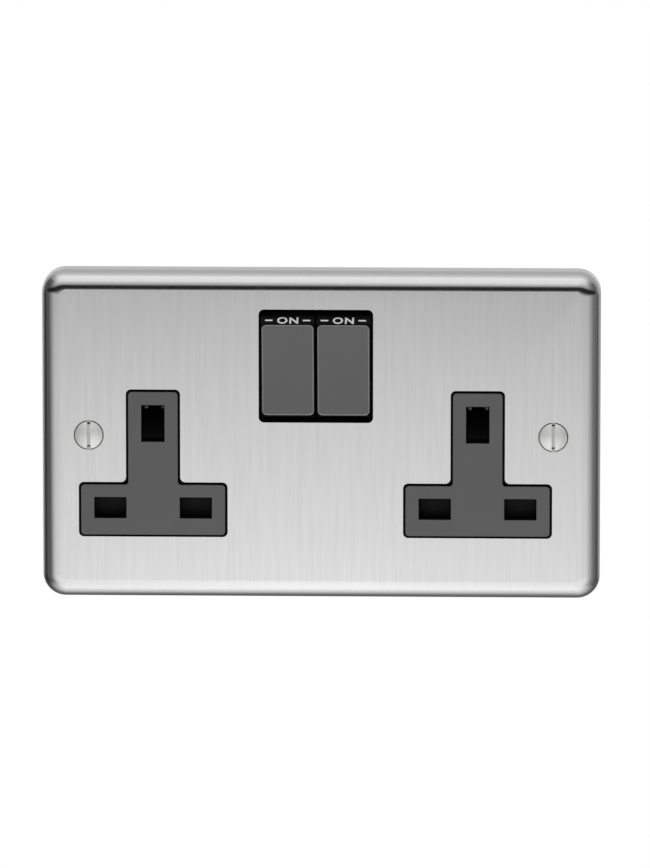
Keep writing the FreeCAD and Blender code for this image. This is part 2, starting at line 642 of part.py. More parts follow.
def make_front_plate():
    """Pressed steel plate with its cut-outs, dimpled screw holes and welded studs."""
    body = new_body("front_plate")
    blank = rectangle("-plate_width / 2", "plate_width / 2", "-plate_height / 2", "plate_height / 2")
    prism(body, "blank", "Y", [rounded(blank, "plate_corner")], "plate_face", "0")
    face = number("plate_face")
    soften(body, "pressed_edge", "Fillet", "plate_edge_round", lambda edge: lies_at(edge, face))
    hollow_out(body, "sheet_metal", "plate_sheet")
    mouth = "screw_head_radius + dimple_margin"
    neck = "screw_shank_radius + dimple_margin"
    bottom = "plate_face + screw_head_cone"
    back = f"{bottom} + plate_sheet / 2"
    for side, across in zip(SIDES, ("-screw_x", "screw_x")):
        turned(body, side + "_dimple",
               [("0", "plate_inner"), (f"{mouth} + plate_sheet", "plate_inner"),
                (f"{neck} + plate_sheet", back), ("0", back)], across)
        turned(body, side + "_countersink",
               [("0", "plate_face"), (mouth, "plate_face"), (neck, bottom),
                (neck, f"{bottom} + plate_sheet"), ("0", f"{bottom} + plate_sheet")],
               across, cut=True)
    window = rectangle("window_middle - window_width / 2", "window_middle + window_width / 2",
                       "window_bottom", "window_top")
    openings = [rounded(window, "window_corner")]
    openings += [t_outline(side + "_socket", "cut_offset", "opening_corner") for side in SIDES]
    prism(body, "openings", "Y", openings, "plate_face", "plate_inner", cut=True)
    prism(body, "studs", "Y", [circle(*spot, "stud_radius") for spot in STUDS],
          "plate_inner", "deck_rear + stud_end")


def hollow_out(body, name, wall):
    """Leave a wall inwards of the solid, open at the face on the wall plane."""
    back = next(f"Face{index}" for index, face in enumerate(body.Shape.Faces, start=1)
                if abs(face.BoundBox.YMin) < 1e-4 and abs(face.BoundBox.YMax) < 1e-4)
    base = body.Tip
    feature = body.newObject("PartDesign::Thickness", name)
    feature.Base = (base, [back])
    feature.Reversed = True
    feature.Mode = 0
    feature.Join = 0
    before = body.Shape.Volume
    feature.setExpression("Value", cell(wall))
    finish_feature(body, feature, before, True)


def make_front_moulding():
    """Black moulding behind the plate: deck, insert seats, switch well, bearings and rails."""
    body = new_body("front_moulding")
    deck = rectangle("-deck_width / 2", "deck_width / 2", "-deck_height / 2", "deck_height / 2")
    prism(body, "deck", "Y", [rounded(deck, "deck_corner")], "deck_front", "deck_rear")
    window = rectangle("well_left", "well_right", "pivot_level - sweep_radius", "pivot_level + sweep_radius")
    finger_side = "(finger_width / 2 + finger_room)"
    finger_slot = rectangle(f"finger_middle - {finger_side}", f"finger_middle + {finger_side}",
                            "finger_level - finger_strip - finger_room",
                            "finger_level + finger_pad + finger_room")
    holes = [window, finger_slot]
    holes += [circle(*spot, "stud_radius + stud_gap") for spot in STUDS]
    holes += [circle(across, "0", "screw_head_radius + dimple_margin + plate_sheet + dimple_room")
              for across in ("-screw_x", "screw_x")]
    prism(body, "deck_holes", "Y", holes, "deck_front", "deck_rear", cut=True)
    add_insert_seats(body)
    prism(body, "walls", "Y", [block_outline("0", "block_corner"), block_outline("wall", None)],
          "deck_rear", "parting")
    add_switch_well(body)
    prism(body, "screw_posts", "Y", [circle(*spot, "boss_wall_radius") for spot in BASE_SCREWS],
          "deck_rear", "parting")
    add_shutter_guides(body)
    prism(body, "pilot_holes", "Y", [circle(*spot, "base_screw_radius + pilot_gap") for spot in BASE_SCREWS],
          "parting - base_screw_entry - pilot_gap", "parting", cut=True)


def add_insert_seats(body):
    """Seats and rims of the two inserts, with their pin passages and peg holes."""
    prism(body, "seats", "Y",
          [t_outline(side + "_socket", "rim_offset", "opening_corner") for side in SIDES],
          "rim_front", "seat_rear")
    prism(body, "recesses", "Y",
          [t_outline(side + "_socket", "seat_gap", "insert_corner") for side in SIDES],
          "rim_front", "insert_rear", cut=True)
    passages = []
    for side in SIDES:
        middle = side + "_socket"
        passages += [outline for _, outline in pin_slots(middle, "seat_gap")]
        passages += [circle(f"{middle} + ({across})", level, "insert_peg_radius + seat_gap")
                     for across, level in INSERT_PEGS]
    prism(body, "passages", "Y", passages, "insert_rear", "seat_rear", cut=True)


def add_shutter_guides(body):
    """Hooked rails and spring posts of the two shutters."""
    hooks = []
    posts = []
    lip_front = "shutter_rear + rail_lip_gap"
    for side in SIDES:
        middle = side + "_socket"
        for sign in ("-", "+"):
            hooks.append([(f"{middle} {sign} rail_inner", "deck_rear"),
                          (f"{middle} {sign} (rail_inner + rail_wall)", "deck_rear"),
                          (f"{middle} {sign} (rail_inner + rail_wall)", f"{lip_front} + rail_wall"),
                          (f"{middle} {sign} (rail_inner - rail_lip)", f"{lip_front} + rail_wall"),
                          (f"{middle} {sign} (rail_inner - rail_lip)", lip_front),
                          (f"{middle} {sign} rail_inner", lip_front)])
        posts.append(rectangle(f"{middle} - post_half", f"{middle} + post_half", "post_bottom", "post_top"))
    prism(body, "rails", "Z", hooks, "inner_bottom", "bar_top + 2 * rail_wall")
    prism(body, "spring_posts", "Y", posts, "seat_rear", "shutter_rear - shutter_gap")


def add_switch_well(body):
    """Well walls, bridge and pivot bearings of the two rockers."""
    roof = "block_top - wall / 2"
    walls = [("well_left - well_wall", "well_low - well_wall"),
             ("well_right + well_wall", "well_low - well_wall"),
             ("well_right + well_wall", roof), ("well_right", roof),
             ("well_right", "well_low"), ("well_left", "well_low"),
             ("well_left", roof), ("well_left - well_wall", roof)]
    prism(body, "well", "Y", [walls], "deck_rear", "parting")
    low = "pivot_level - bearing_half"
    high = "pivot_level + bearing_half"
    prism(body, "side_bearings", "Y",
          [rectangle("well_left - well_wall / 2", "left_rocker - web_reach", low, high),
           rectangle("right_rocker + web_reach", "well_right + well_wall / 2", low, high)],
          "deck_rear", "bearing_back - pivot_depth")
    box(body, "bridge", "left_rocker + web_reach", "right_rocker - web_reach",
        "-bridge_front", "parting", "well_low - well_wall / 2", roof)
    box(body, "middle_bearing", "left_rocker + web_reach", "right_rocker - web_reach",
        "deck_rear", "parting", low, high)
    rod(body, "bearing_bore", "X", ("-pivot_depth", "pivot_level"), "trunnion_radius + trunnion_gap",
        "left_rocker - web_reach - trunnion_entry - trunnion_gap",
        "right_rocker + web_reach + trunnion_entry + trunnion_gap", cut=True)


def make_insert(side):
    """Grey T-shaped insert with three chamfered pin slots and the pegs that hold it."""
    body = new_body(side + "_socket_insert")
    prism(body, "plate", "Y", [t_outline("0", "0", "insert_corner")], "insert_front", "insert_rear")
    slots = [outline for _, outline in pin_slots("0", "0")]
    prism(body, "slots", "Y", slots, "insert_front", "insert_rear", cut=True)
    face = number("insert_front")
    rims = []
    for _, outline in pin_slots("0", "0"):
        spots = [(number(point[0]), number(point[1])) for point in outline]
        rims.append((min(spots), max(spots)))

    def borders_slot(edge):
        middle = edge.BoundBox.Center
        return lies_at(edge, face) and any(
            low[0] - 1e-3 < middle.x < high[0] + 1e-3 and low[1] - 1e-3 < middle.z < high[1] + 1e-3
            for low, high in rims)

    soften(body, "slot_leads", "Chamfer", "slot_lead", borders_slot)
    prism(body, "pegs", "Y", [circle(*spot, "insert_peg_radius") for spot in INSERT_PEGS],
          "insert_rear", "seat_rear - seat_gap")
    place(body, side + "_socket")


def make_shutter(side):
    """Shutter that covers the line slots, with the ramp that the earth pin pushes down."""
    body = new_body(side + "_shutter")
    plate = [("-shutter_half", "bar_bottom"), ("shutter_half", "bar_bottom"),
             ("shutter_half", "bar_top"), ("shutter_stem_half", "bar_top"),
             ("shutter_stem_half", "ramp_foot"), ("-shutter_stem_half", "ramp_foot"),
             ("-shutter_stem_half", "bar_top"), ("-shutter_half", "bar_top")]
    prism(body, "plate", "Y", [plate], "shutter_front", "shutter_rear")
    ramp = [("shutter_front", "ramp_foot"), ("shutter_front", "ramp_foot - ramp_wall"),
            ("shutter_rear", "ramp_foot - ramp_wall"),
            ("ramp_back", "ramp_peak - ramp_wall"), ("ramp_back", "ramp_peak")]
    prism(body, "ramp", "X", [ramp], "-ramp_half", "ramp_half")
    box(body, "spring_slot", "-post_half - post_gap", "post_half + post_gap",
        "shutter_front", "shutter_rear", "spring_slot_bottom", "spring_slot_top", cut=True)
    place(body, side + "_socket")


def rocker_place(body, side):
    """Put a piece of a rocker on its pivot, switched on."""
    place(body, side + "_rocker", "-pivot_depth", "pivot_level", "rocker_tilt")


def make_dolly(side):
    """Black body of a rocker: web, slanted ends, round skirts, cheeks, boss and pivot pins."""
    body = new_body(side + "_rocker_dolly")
    lip_front = "-cap_front + dolly_lip"
    lip = "cap_height / 2 + seat_gap / 2"
    shoulder = f"{lip} + dolly_lip"
    front_rise = "sqrt(pow(dolly_skirt_radius; 2) - pow(dolly_skirt_front; 2))"
    back_rise = "sqrt(pow(dolly_skirt_radius; 2) - pow(dolly_skirt_back; 2))"
    inner = "dolly_skirt_radius - dolly_skirt_wall"
    inner_back = f"sqrt(pow({inner}; 2) - pow(dolly_skirt_back; 2))"
    inner_front = f"sqrt(pow({inner}; 2) - pow(web_back; 2))"
    section = [("-web_back", inner_front, f"-({inner})"), ("dolly_skirt_back", inner_back),
               ("dolly_skirt_back", back_rise, "dolly_skirt_radius"),
               ("-dolly_skirt_front", front_rise), (lip_front, shoulder), (lip_front, lip),
               ("-cap_seat", lip), ("-cap_seat", f"-({lip})"), (lip_front, f"-({lip})"),
               (lip_front, f"-({shoulder})"),
               ("-dolly_skirt_front", f"-({front_rise})", "dolly_skirt_radius"),
               ("dolly_skirt_back", f"-({back_rise})"),
               ("dolly_skirt_back", f"-({inner_back})", f"-({inner})"),
               ("-web_back", f"-({inner_front})")]
    prism(body, "shell", "X", [section], "-dolly_width / 2", "dolly_width / 2")
    root = "-web_back - dolly_web / 2"
    rim = "trunnion_radius + cheek_rim"
    cheek = [(root, "-cheek_reach"), (rim, f"-({rim})"), (rim, rim), (root, "cheek_reach")]
    for name, low, high in (("left_cheek", "-cheek_reach", "-cheek_reach + cheek_wall"),
                            ("right_cheek", "cheek_reach - cheek_wall", "cheek_reach")):
        prism(body, name, "X", [cheek], low, high)
    reach = "web_reach + trunnion_entry"
    rod(body, "left_trunnion", "X", ("0", "0"), "trunnion_radius",
        f"-({reach})", "-cheek_reach + cheek_wall")
    rod(body, "right_trunnion", "X", ("0", "0"), "trunnion_radius",
        "cheek_reach - cheek_wall", reach)
    rod(body, "boss", "Y", ("0", "0"), "boss_radius", "-web_back - dolly_web / 2", "boss_back")
    rod(body, "plunger_bore", "Y", ("0", "0"), "plunger_radius + plunger_gap",
        "-plunger_inner - spring_room", "boss_back", cut=True)
    prism(body, "peg_holes", "Y",
          [circle("0", level, "cap_peg_radius + seat_gap / 2")
           for level in ("cap_peg_reach", "-cap_peg_reach")],
          "-cap_seat", "-web_back", cut=True)
    rocker_place(body, side)


def make_cap(side):
    """Grey cap of a rocker, hollowed a little, with the two pegs that snap into the dolly."""
    body = new_body(side + "_rocker_cap")
    chord = "(cap_height / 2)"
    hollow = f"((pow({chord}; 2) + pow(cap_hollow; 2)) / (2 * cap_hollow))"
    box(body, "pad", "-cap_width / 2", "cap_width / 2", "-cap_front", "-cap_seat",
        "-cap_height / 2", "cap_height / 2")
    rod(body, "hollow", "X", (f"cap_hollow - cap_front - {hollow}", "0"), hollow,
        "-cap_width / 2", "cap_width / 2", cut=True)
    side_reach = number("cap_width / 2")
    end_reach = number("cap_height / 2")
    seat = number("-cap_seat")

    def upright_corner(edge):
        bounds = edge.BoundBox
        return (bounds.YLength > 0.5 and bounds.XLength < 1e-4 and bounds.ZLength < 1e-4
                and abs(abs(bounds.XMin) - side_reach) < 1e-3 and abs(abs(bounds.ZMin) - end_reach) < 1e-3)

    soften(body, "corners", "Fillet", "cap_corner", upright_corner)

    def front_edge(edge):
        bounds = edge.BoundBox
        return bounds.YMax < seat - 0.3 and not (bounds.XLength < 1e-4 and bounds.ZLength < 1e-4)

    soften(body, "front_edges", "Fillet", "cap_edge_round", front_edge)
    prism(body, "pegs", "Y",
          [circle("0", level, "cap_peg_radius") for level in ("cap_peg_reach", "-cap_peg_reach")],
          "-cap_seat", "-web_back")
    rocker_place(body, side)


def make_plunger(side):
    """Nylon plunger that rides over the see-saw contact."""
    body = new_body(side + "_switch_plunger")
    turned(body, "pin", [("0", "-plunger_inner"), ("plunger_radius", "-plunger_inner"),
                         ("plunger_radius", "plunger_tip - plunger_radius", "plunger_radius"),
                         ("0", "plunger_tip")])
    rocker_place(body, side)


def make_seesaw(side):
    """Moving contact: a see-saw strip with pivot pins and a silver button."""
    body = new_body(side + "_moving_contact")
    back = "seesaw_pin_radius"
    box(body, "strip", "-seesaw_width / 2", "seesaw_width / 2", f"{back} - seesaw_thickness", back,
        "-seesaw_half", "seesaw_half")
    rod(body, "button", "Y", ("0", "contact_reach"), "contact_radius", back, f"{back} + contact_rise")
    reach = "seesaw_width / 2 + ear_play + ear_wall"
    rod(body, "left_pin", "X", ("0", "0"), "seesaw_pin_radius", f"-({reach})", "-seesaw_width / 2 + ear_play")
    rod(body, "right_pin", "X", ("0", "0"), "seesaw_pin_radius", "seesaw_width / 2 - ear_play", reach)
    place(body, side + "_rocker", "seesaw_pivot", "pivot_level", "-seesaw_tilt")


def clip_section(back, tab=False):
    """Side view of a sprung clip that grips a line pin, with a tab down to a bar."""
    middle = "line_pin_level"
    upper = [("clip_mouth", f"{middle} + clip_half"), ("clip_mouth", f"{middle} + clip_outer"),
             (back, f"{middle} + clip_outer"), (back, f"{middle} - clip_outer")]
    lower = [("clip_mouth", f"{middle} - clip_outer"), ("clip_mouth", f"{middle} - clip_half"),
             (f"{back} - strip", f"{middle} - clip_half"), (f"{back} - strip", f"{middle} + clip_half")]
    down = [("neutral_bar_back", f"{middle} - clip_outer"), ("neutral_bar_back", "neutral_bar_top"),
            ("neutral_bar_depth", "neutral_bar_top"), ("neutral_bar_depth", f"{middle} - clip_outer")]
    return upper + (down if tab else []) + lower


def make_neutral_bar():
    """Neutral bar with both neutral clips and the tab to its terminal."""
    body = new_body("neutral_busbar")
    left = "left_socket - line_pin_reach"
    right = "right_socket - line_pin_reach"
    box(body, "bar", f"{left} - clip_width / 2", f"{right} + clip_width / 2",
        "neutral_bar_depth", "neutral_bar_back", "neutral_bar_bottom", "neutral_bar_top")
    for side, middle in zip(SIDES, (left, right)):
        prism(body, side + "_clip", "X", [clip_section("neutral_clip_back", tab=True)],
              f"{middle} - clip_width / 2", f"{middle} + clip_width / 2")
    box(body, "terminal_tab", "terminal_start - arm_width / 2", "terminal_start + arm_width / 2",
        "neutral_bar_back", "terminal_front", "neutral_bar_bottom", "neutral_bar_top")


def make_live_contact(side):
    """Live arm of one socket, from the fixed switch contact to the clip."""
    body = new_body(side + "_live_contact")
    rocker = side + "_rocker"
    clip = f"{side}_socket + line_pin_reach"
    drop = side + "_drop"
    sign = "-" if side == "left" else "+"
    back = "+" if side == "left" else "-"
    head = "pivot_level + contact_reach"
    arm = [(f"{rocker} {back} arm_width / 2", f"{head} - arm_width / 2"),
           (f"{rocker} {back} arm_width / 2", f"{head} + arm_width / 2"),
           (f"{drop} {sign} arm_width / 2", f"{head} + arm_width / 2"),
           (f"{drop} {sign} arm_width / 2", "arm_run_top"),
           (f"{clip} {sign} clip_width / 2", "arm_run_top"),
           (f"{clip} {sign} clip_width / 2", "line_pin_level - clip_outer"),
           (f"{clip} {back} clip_width / 2", "line_pin_level - clip_outer"),
           (f"{clip} {back} clip_width / 2", "arm_run_top - arm_width"),
           (f"{drop} {back} arm_width / 2", "arm_run_top - arm_width"),
           (f"{drop} {back} arm_width / 2", f"{head} - arm_width / 2")]
    prism(body, "arm", "Y", [arm], "live_arm_depth", "live_arm_back")
    prism(body, "clip", "X", [clip_section("live_arm_back")],
          f"{clip} - clip_width / 2", f"{clip} + clip_width / 2")
    touch = ("((seesaw_pin_radius + contact_rise) * cos(seesaw_tilt)"
             " + (contact_reach + contact_radius) * sin(seesaw_tilt))")
    rod(body, "fixed_contact", "Y", (rocker, head), "contact_radius",
        f"seesaw_pivot + {touch} + contact_gap", "live_arm_depth")


def make_live_bar():
    """Live bar that feeds both see-saws, with their ears and the leg to its terminal."""
    body = new_body("live_busbar")
    low = "pivot_level - live_bar_half"
    high = "pivot_level + live_bar_half"
    ear = "(seesaw_width / 2 + ear_play)"
    leg_right = "live_terminal + arm_width / 2"
    bar = [(f"left_rocker - {ear} - ear_wall", low), ("live_terminal - arm_width / 2", low),
           ("live_terminal - arm_width / 2", "terminal_top"), (leg_right, "terminal_top"),
           (leg_right, high), (f"left_rocker - {ear} - ear_wall", high)]
    prism(body, "bar", "Y", [bar], "live_bar_depth", "live_bar_back")
    ears = []
    for side in SIDES:
        middle = side + "_rocker"
        for near, far in ((f"{middle} - {ear} - ear_wall", f"{middle} - {ear}"),
                          (f"{middle} + {ear}", f"{middle} + {ear} + ear_wall")):
            ears.append(rectangle(near, far, "pivot_level - ear_half", "pivot_level + ear_half"))
    prism(body, "ears", "Y", ears, "seesaw_pivot - ear_front", "live_bar_depth")
    rod(body, "pivot_holes", "X", ("seesaw_pivot", "pivot_level"),
        "seesaw_pin_radius + seesaw_pin_gap", f"left_rocker - {ear} - ear_wall",
        f"right_rocker + {ear} + ear_wall", cut=True)
    box(body, "terminal_foot", "live_terminal - arm_width / 2", leg_right,
        "cable_bore_depth", "terminal_back - strip", "terminal_top", "terminal_top + strip")


def make_earth_bar():
    """Earth bar with both earth clips and the leg to the two earth terminals."""
    body = new_body("earth_busbar")
    box(body, "bar", "left_socket - earth_clip_outer", "right_socket + earth_clip_outer",
        "earth_bar_depth", "earth_bar_back", "earth_low", "earth_high")
    arms = []
    for side in SIDES:
        middle = side + "_socket"
        arms.append(rectangle(f"{middle} - earth_clip_outer", f"{middle} - earth_clip_half",
                              "earth_low", "earth_high"))
        arms.append(rectangle(f"{middle} + earth_clip_half", f"{middle} + earth_clip_outer",
                              "earth_low", "earth_high"))
    prism(body, "clip_arms", "Y", arms, "earth_clip_front", "earth_bar_depth")
    box(body, "leg", "finger_middle - arm_width / 2", "finger_middle + arm_width / 2",
        "earth_bar_depth", "earth_bar_back", "terminal_top", "earth_low")
    box(body, "terminal_foot", "first_earth - arm_width / 2", "second_earth + arm_width / 2",
        "cable_bore_depth", "earth_bar_back", "terminal_top", "terminal_top + strip")


def make_plate_finger():
    """Spring finger from the earth leg to the back of the steel plate."""
    body = new_body("plate_earth_spring")
    finger = [("plate_inner", "finger_level - finger_strip"),
              ("earth_bar_depth - finger_strip", "finger_level - finger_strip"),
              ("earth_bar_depth - finger_strip", "finger_level - finger_pad"),
              ("earth_bar_depth", "finger_level - finger_pad"), ("earth_bar_depth", "finger_level"),
              ("plate_inner + finger_strip", "finger_level"),
              ("plate_inner + finger_strip", "finger_level + finger_pad"),
              ("plate_inner", "finger_level + finger_pad")]
    prism(body, "strip", "X", [finger], "-finger_width / 2", "finger_width / 2")
    place(body, "finger_middle")


def make_terminal(label, middle):
    """Brass terminal block with its cable bore and tapped screw hole."""
    body = new_body(label)
    box(body, "block", "-terminal_width / 2", "terminal_width / 2", "terminal_front", "terminal_back",
        "terminal_bottom", "terminal_top")
    rod(body, "cable_bore", "Z", ("0", "cable_bore_depth"), "cable_bore_radius",
        "terminal_bottom", "terminal_top", cut=True)
    rod(body, "screw_bore", "Y", ("0", "terminal_middle"), "terminal_screw_radius + pilot_gap",
        "cable_bore_depth", "terminal_back", cut=True)
    place(body, middle)


def make_terminal_screw(label, middle):
    """Slotted terminal screw, backed off clear of the cable bore."""
    body = new_body(label)
    tip = "cable_bore_depth + cable_bore_radius + terminal_screw_clear"
    head = "terminal_back + pilot_gap"
    top = f"{head} + terminal_screw_rise"
    turned(body, "screw", [("0", tip), ("terminal_screw_radius - terminal_screw_tip", tip),
                           ("terminal_screw_radius", f"{tip} + terminal_screw_tip"),
                           ("terminal_screw_radius", head), ("terminal_screw_head", head),
                           ("terminal_screw_head", top), ("0", top)])
    box(body, "slot", "-terminal_screw_head", "terminal_screw_head", f"{head} + terminal_screw_rise / 2",
        top, "-screw_slot_width / 2", "screw_slot_width / 2", cut=True)
    place(body, middle, "0", "terminal_middle")


def make_fixing_screw(side):
    """Raised countersunk fixing screw with an upright slot."""
    body = new_body(side + "_fixing_screw")
    rim = "plate_face"
    dome = "((pow(screw_head_radius; 2) + pow(screw_head_rise; 2)) / (2 * screw_head_rise))"
    cone_end = f"{rim} + screw_head_cone"
    tip = f"{rim} + screw_length"
    turned(body, "screw", [("0", f"{rim} - screw_head_rise", dome), ("screw_head_radius", rim),
                           ("screw_neck_radius", cone_end), ("screw_neck_radius", f"{cone_end} + screw_neck"),
                           ("screw_shank_radius", f"{cone_end} + screw_neck"),
                           ("screw_shank_radius", f"{tip} - screw_shank_radius / 2"),
                           ("screw_shank_radius / 2", tip), ("0", tip)])
    box(body, "slot", "-screw_slot_width / 2", "screw_slot_width / 2", f"{rim} - screw_head_rise",
        f"{rim} + screw_slot_depth - screw_head_rise / 2",
        "-screw_head_radius", "screw_head_radius", cut=True)
    place(body, "-screw_x" if side == "left" else "screw_x")


def make_rear_base():
    """Rear base: shell, screw bosses, terminal barriers, ribs, cable slots and driver holes."""
    body = new_body("rear_base")
    prism(body, "block", "Y", [block_outline("0", "block_corner")], "parting", "base_back")
    rear = number("base_back")
    soften(body, "rear_edges", "Chamfer", "base_edge", lambda edge: lies_at(edge, rear))
    prism(body, "cavity", "Y", [block_outline("wall", None)], "parting", "base_floor", cut=True)
    prism(body, "bosses", "Y", [circle(*spot, "boss_wall_radius") for spot in BASE_SCREWS],
          "parting", "base_floor")
    prism(body, "boss_holes", "Y",
          [circle(*spot, "base_screw_radius + base_screw_gap") for spot in BASE_SCREWS],
          "parting", "base_back", cut=True)
    barriers = []
    for index in range(len(TERMINALS) + 1):
        middle = f"terminal_start + {index - 0.5} * terminal_pitch"
        barriers.append(rectangle(f"{middle} - barrier / 2", f"{middle} + barrier / 2",
                                  "inner_bottom", "terminal_top - terminal_drop"))
    prism(body, "barriers", "Y", barriers, "parting", "base_floor")
    cable_front = "cable_bore_depth - cable_bore_radius - cable_slot_margin"
    cable_back = "cable_bore_depth + cable_bore_radius + cable_slot_margin"
    prism(body, "cable_slots", "Z",
          [rectangle(f"{middle} - cable_slot_half", f"{middle} + cable_slot_half", cable_front, cable_back)
           for _, middle in TERMINALS], "block_bottom", "inner_bottom", cut=True)
    prism(body, "driver_holes", "Y",
          [circle(middle, "terminal_middle", "tool_hole_radius") for _, middle in TERMINALS],
          "base_floor", "base_back", cut=True)
    rows = {"neutral_clip_back": [], "live_arm_back": [], "earth_bar_back": [], "live_bar_back": []}
    for side in SIDES:
        rows["neutral_clip_back"].append((f"{side}_socket - line_pin_reach", "line_pin_level"))
        rows["live_arm_back"].append((f"{side}_socket + line_pin_reach", "line_pin_level"))
        rows["live_arm_back"].append((side + "_drop", "pivot_level + contact_reach"))
        rows["earth_bar_back"].append((side + "_socket", "earth_pin_level"))
    rows["live_bar_back"].append(("window_middle", "pivot_level"))
    for front, spots in rows.items():
        ribs = [rectangle(f"{across} - rib_half", f"{across} + rib_half",
                          f"{level} - rib_half", f"{level} + rib_half") for across, level in spots]
        prism(body, f"ribs_to_{front}", "Y", ribs, front, "base_floor")


def coil(label, radius, wire, length, turns, set_place):
    """Coil spring of square wire along its own Z, from level zero up to its length."""
    steps = 10
    corners = ((radius - wire / 2, 0), (radius + wire / 2, 0),
               (radius + wire / 2, wire), (radius - wire / 2, wire))
    stations = []
    for index in range(turns * steps + 1):
        angle = 2 * math.pi * index / steps
        rise = (length - wire) * index / (turns * steps)
        stations.append([Vector(reach * math.cos(angle), reach * math.sin(angle), rise + lift)
                         for reach, lift in corners])
    faces = [Part.Face(Part.makePolygon(stations[0] + stations[0][:1])),
             Part.Face(Part.makePolygon(stations[-1] + stations[-1][:1]))]
    for here, ahead in zip(stations, stations[1:]):
        for index in range(4):
            following = (index + 1) % 4
            for triple in ((here[index], here[following], ahead[following]),
                           (here[index], ahead[following], ahead[index])):
                faces.append(Part.Face(Part.makePolygon([*triple, triple[0]])))
    solid = Part.Solid(Part.Shell(faces))
    if solid.Volume < 0:
        solid.reverse()
    feature = doc.addObject("Part::Feature", label)
    feature.Label = label
    feature.Shape = solid
    set_place(feature)
    bodies.append(feature)


def make_plunger_spring(side):
    """Spring between the bottom of the bore and the plunger."""
    def set_place(feature):
        lean = FreeCAD.Rotation(Vector(1, 0, 0), number("rocker_tilt"))
        along = FreeCAD.Rotation(Vector(1, 0, 0), -90)
        start = lean.multVec(Vector(0, number("-plunger_inner - spring_room"), 0))
        pivot = Vector(number(side + "_rocker"), number("-pivot_depth"), number("pivot_level"))
        feature.Placement = FreeCAD.Placement(pivot + start, lean * along)

    wire = number("spring_wire")
    coil(side + "_plunger_spring", number("plunger_radius - spring_wire"), wire,
         number("spring_room"), 4, set_place)


def make_return_spring(side):
    """Spring that closes a shutter."""
    def set_place(feature):
        depth = number("(shutter_front + shutter_rear) / 2")
        spot = Vector(number(side + "_socket"), depth, number("post_top"))
        feature.Placement = FreeCAD.Placement(spot, FreeCAD.Rotation())

    coil(side + "_shutter_spring", number("return_radius"), number("return_wire"),
         number("return_room"), 6, set_place)


def make_base_screws():
    """The screws that hold the base to the front moulding, as separate solids."""
    solids = []
    for spot in BASE_SCREWS:
        centre = Vector(number(spot[0]), 0, number(spot[1]))
        back = number("base_back")
        rise = number("base_screw_rise")
        tip = number("parting - base_screw_entry")
        along = Vector(0, 1, 0)
        shank = Part.makeCylinder(number("base_screw_radius"), back - tip, centre + Vector(0, tip, 0), along)
        head = Part.makeCylinder(number("base_screw_head"), rise, centre + Vector(0, back, 0), along)
        width = number("screw_slot_width")
        slot = Part.makeBox(2 * number("base_screw_head"), rise, width,
                            centre + Vector(-number("base_screw_head"), back + rise / 2, -width / 2))
        solids.append(shank.fuse(head).cut(slot).removeSplitter())
    group_of("base_screws", solids)


def make_push_nuts():
    """The spring washers pushed on the studs behind the deck, as separate solids."""
    solids = []
    for spot in STUDS:
        centre = Vector(number(spot[0]), number("deck_rear"), number(spot[1]))
        along = Vector(0, 1, 0)
        nut_sheet = number("nut_sheet")
        disc = Part.makeCylinder(number("nut_radius"), nut_sheet, centre, along)
        collar = Part.makeCone(number("nut_radius") * 0.75, number("stud_radius") * 1.5, nut_sheet,
                               centre + along * nut_sheet, along)
        bore = Part.makeCylinder(number("stud_radius + nut_gap"), 2 * nut_sheet, centre, along)
        solids.append(disc.fuse(collar).cut(bore).removeSplitter())
    group_of("push_nuts", solids)


def group_of(label, solids):
    """One node of separate solids."""
    flat = [solid for shape in solids for solid in shape.Solids]
    feature = doc.addObject("Part::Feature", label)
    feature.Label = label
    feature.Shape = Part.makeCompound(flat)
    feature.Placement = FreeCAD.Placement()
    bodies.append(feature)


def check_model():
    """Stop if anything in the document failed or any piece is empty or broken."""
    for item in doc.Objects:
        if "Invalid" in item.State or "Error" in item.State:
            raise RuntimeError(f"{item.Label} did not recompute")
    for piece in bodies:
        if piece.Shape.isNull() or not piece.Shape.isValid() or not piece.Shape.Solids:
            raise RuntimeError(f"{piece.Label} has no sound solid")


def write_parts():
    """Write each piece to its own file."""
    os.makedirs("parts", exist_ok=True)
    for piece in bodies:
        piece.Shape.exportStep(f"parts/{piece.Label}.step")
        print(f"{piece.Label}: {len(piece.Shape.Solids)} solid, {piece.Shape.Volume:.1f} mm3")


fill_sheets()
make_front_plate()
make_front_moulding()
for piece_side in SIDES:
    make_insert(piece_side)
    make_shutter(piece_side)
    make_dolly(piece_side)
    make_cap(piece_side)
    make_plunger(piece_side)
    make_seesaw(piece_side)
    make_live_contact(piece_side)
    make_plunger_spring(piece_side)
    make_return_spring(piece_side)
    make_fixing_screw(piece_side)
make_neutral_bar()
make_live_bar()
make_earth_bar()
make_plate_finger()
for terminal_label, terminal_middle_text in TERMINALS:
    make_terminal(terminal_label, terminal_middle_text)
    make_terminal_screw(terminal_label + "_screw", terminal_middle_text)
make_rear_base()
make_base_screws()
make_push_nuts()
doc.recompute()
check_model()
write_parts()
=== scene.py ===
"""Looks of a flush twin wall socket: brushed steel plate, grey inserts, black and grey rockers.

Every piece is in metres in the frame of the part: X to the right, Z up, Y into the wall, with
the origin on the wall plane midway between the fixing screws.
"""
import json
import logging
import math
from dataclasses import dataclass
from enum import Enum

import bpy
from mathutils import Matrix, Vector


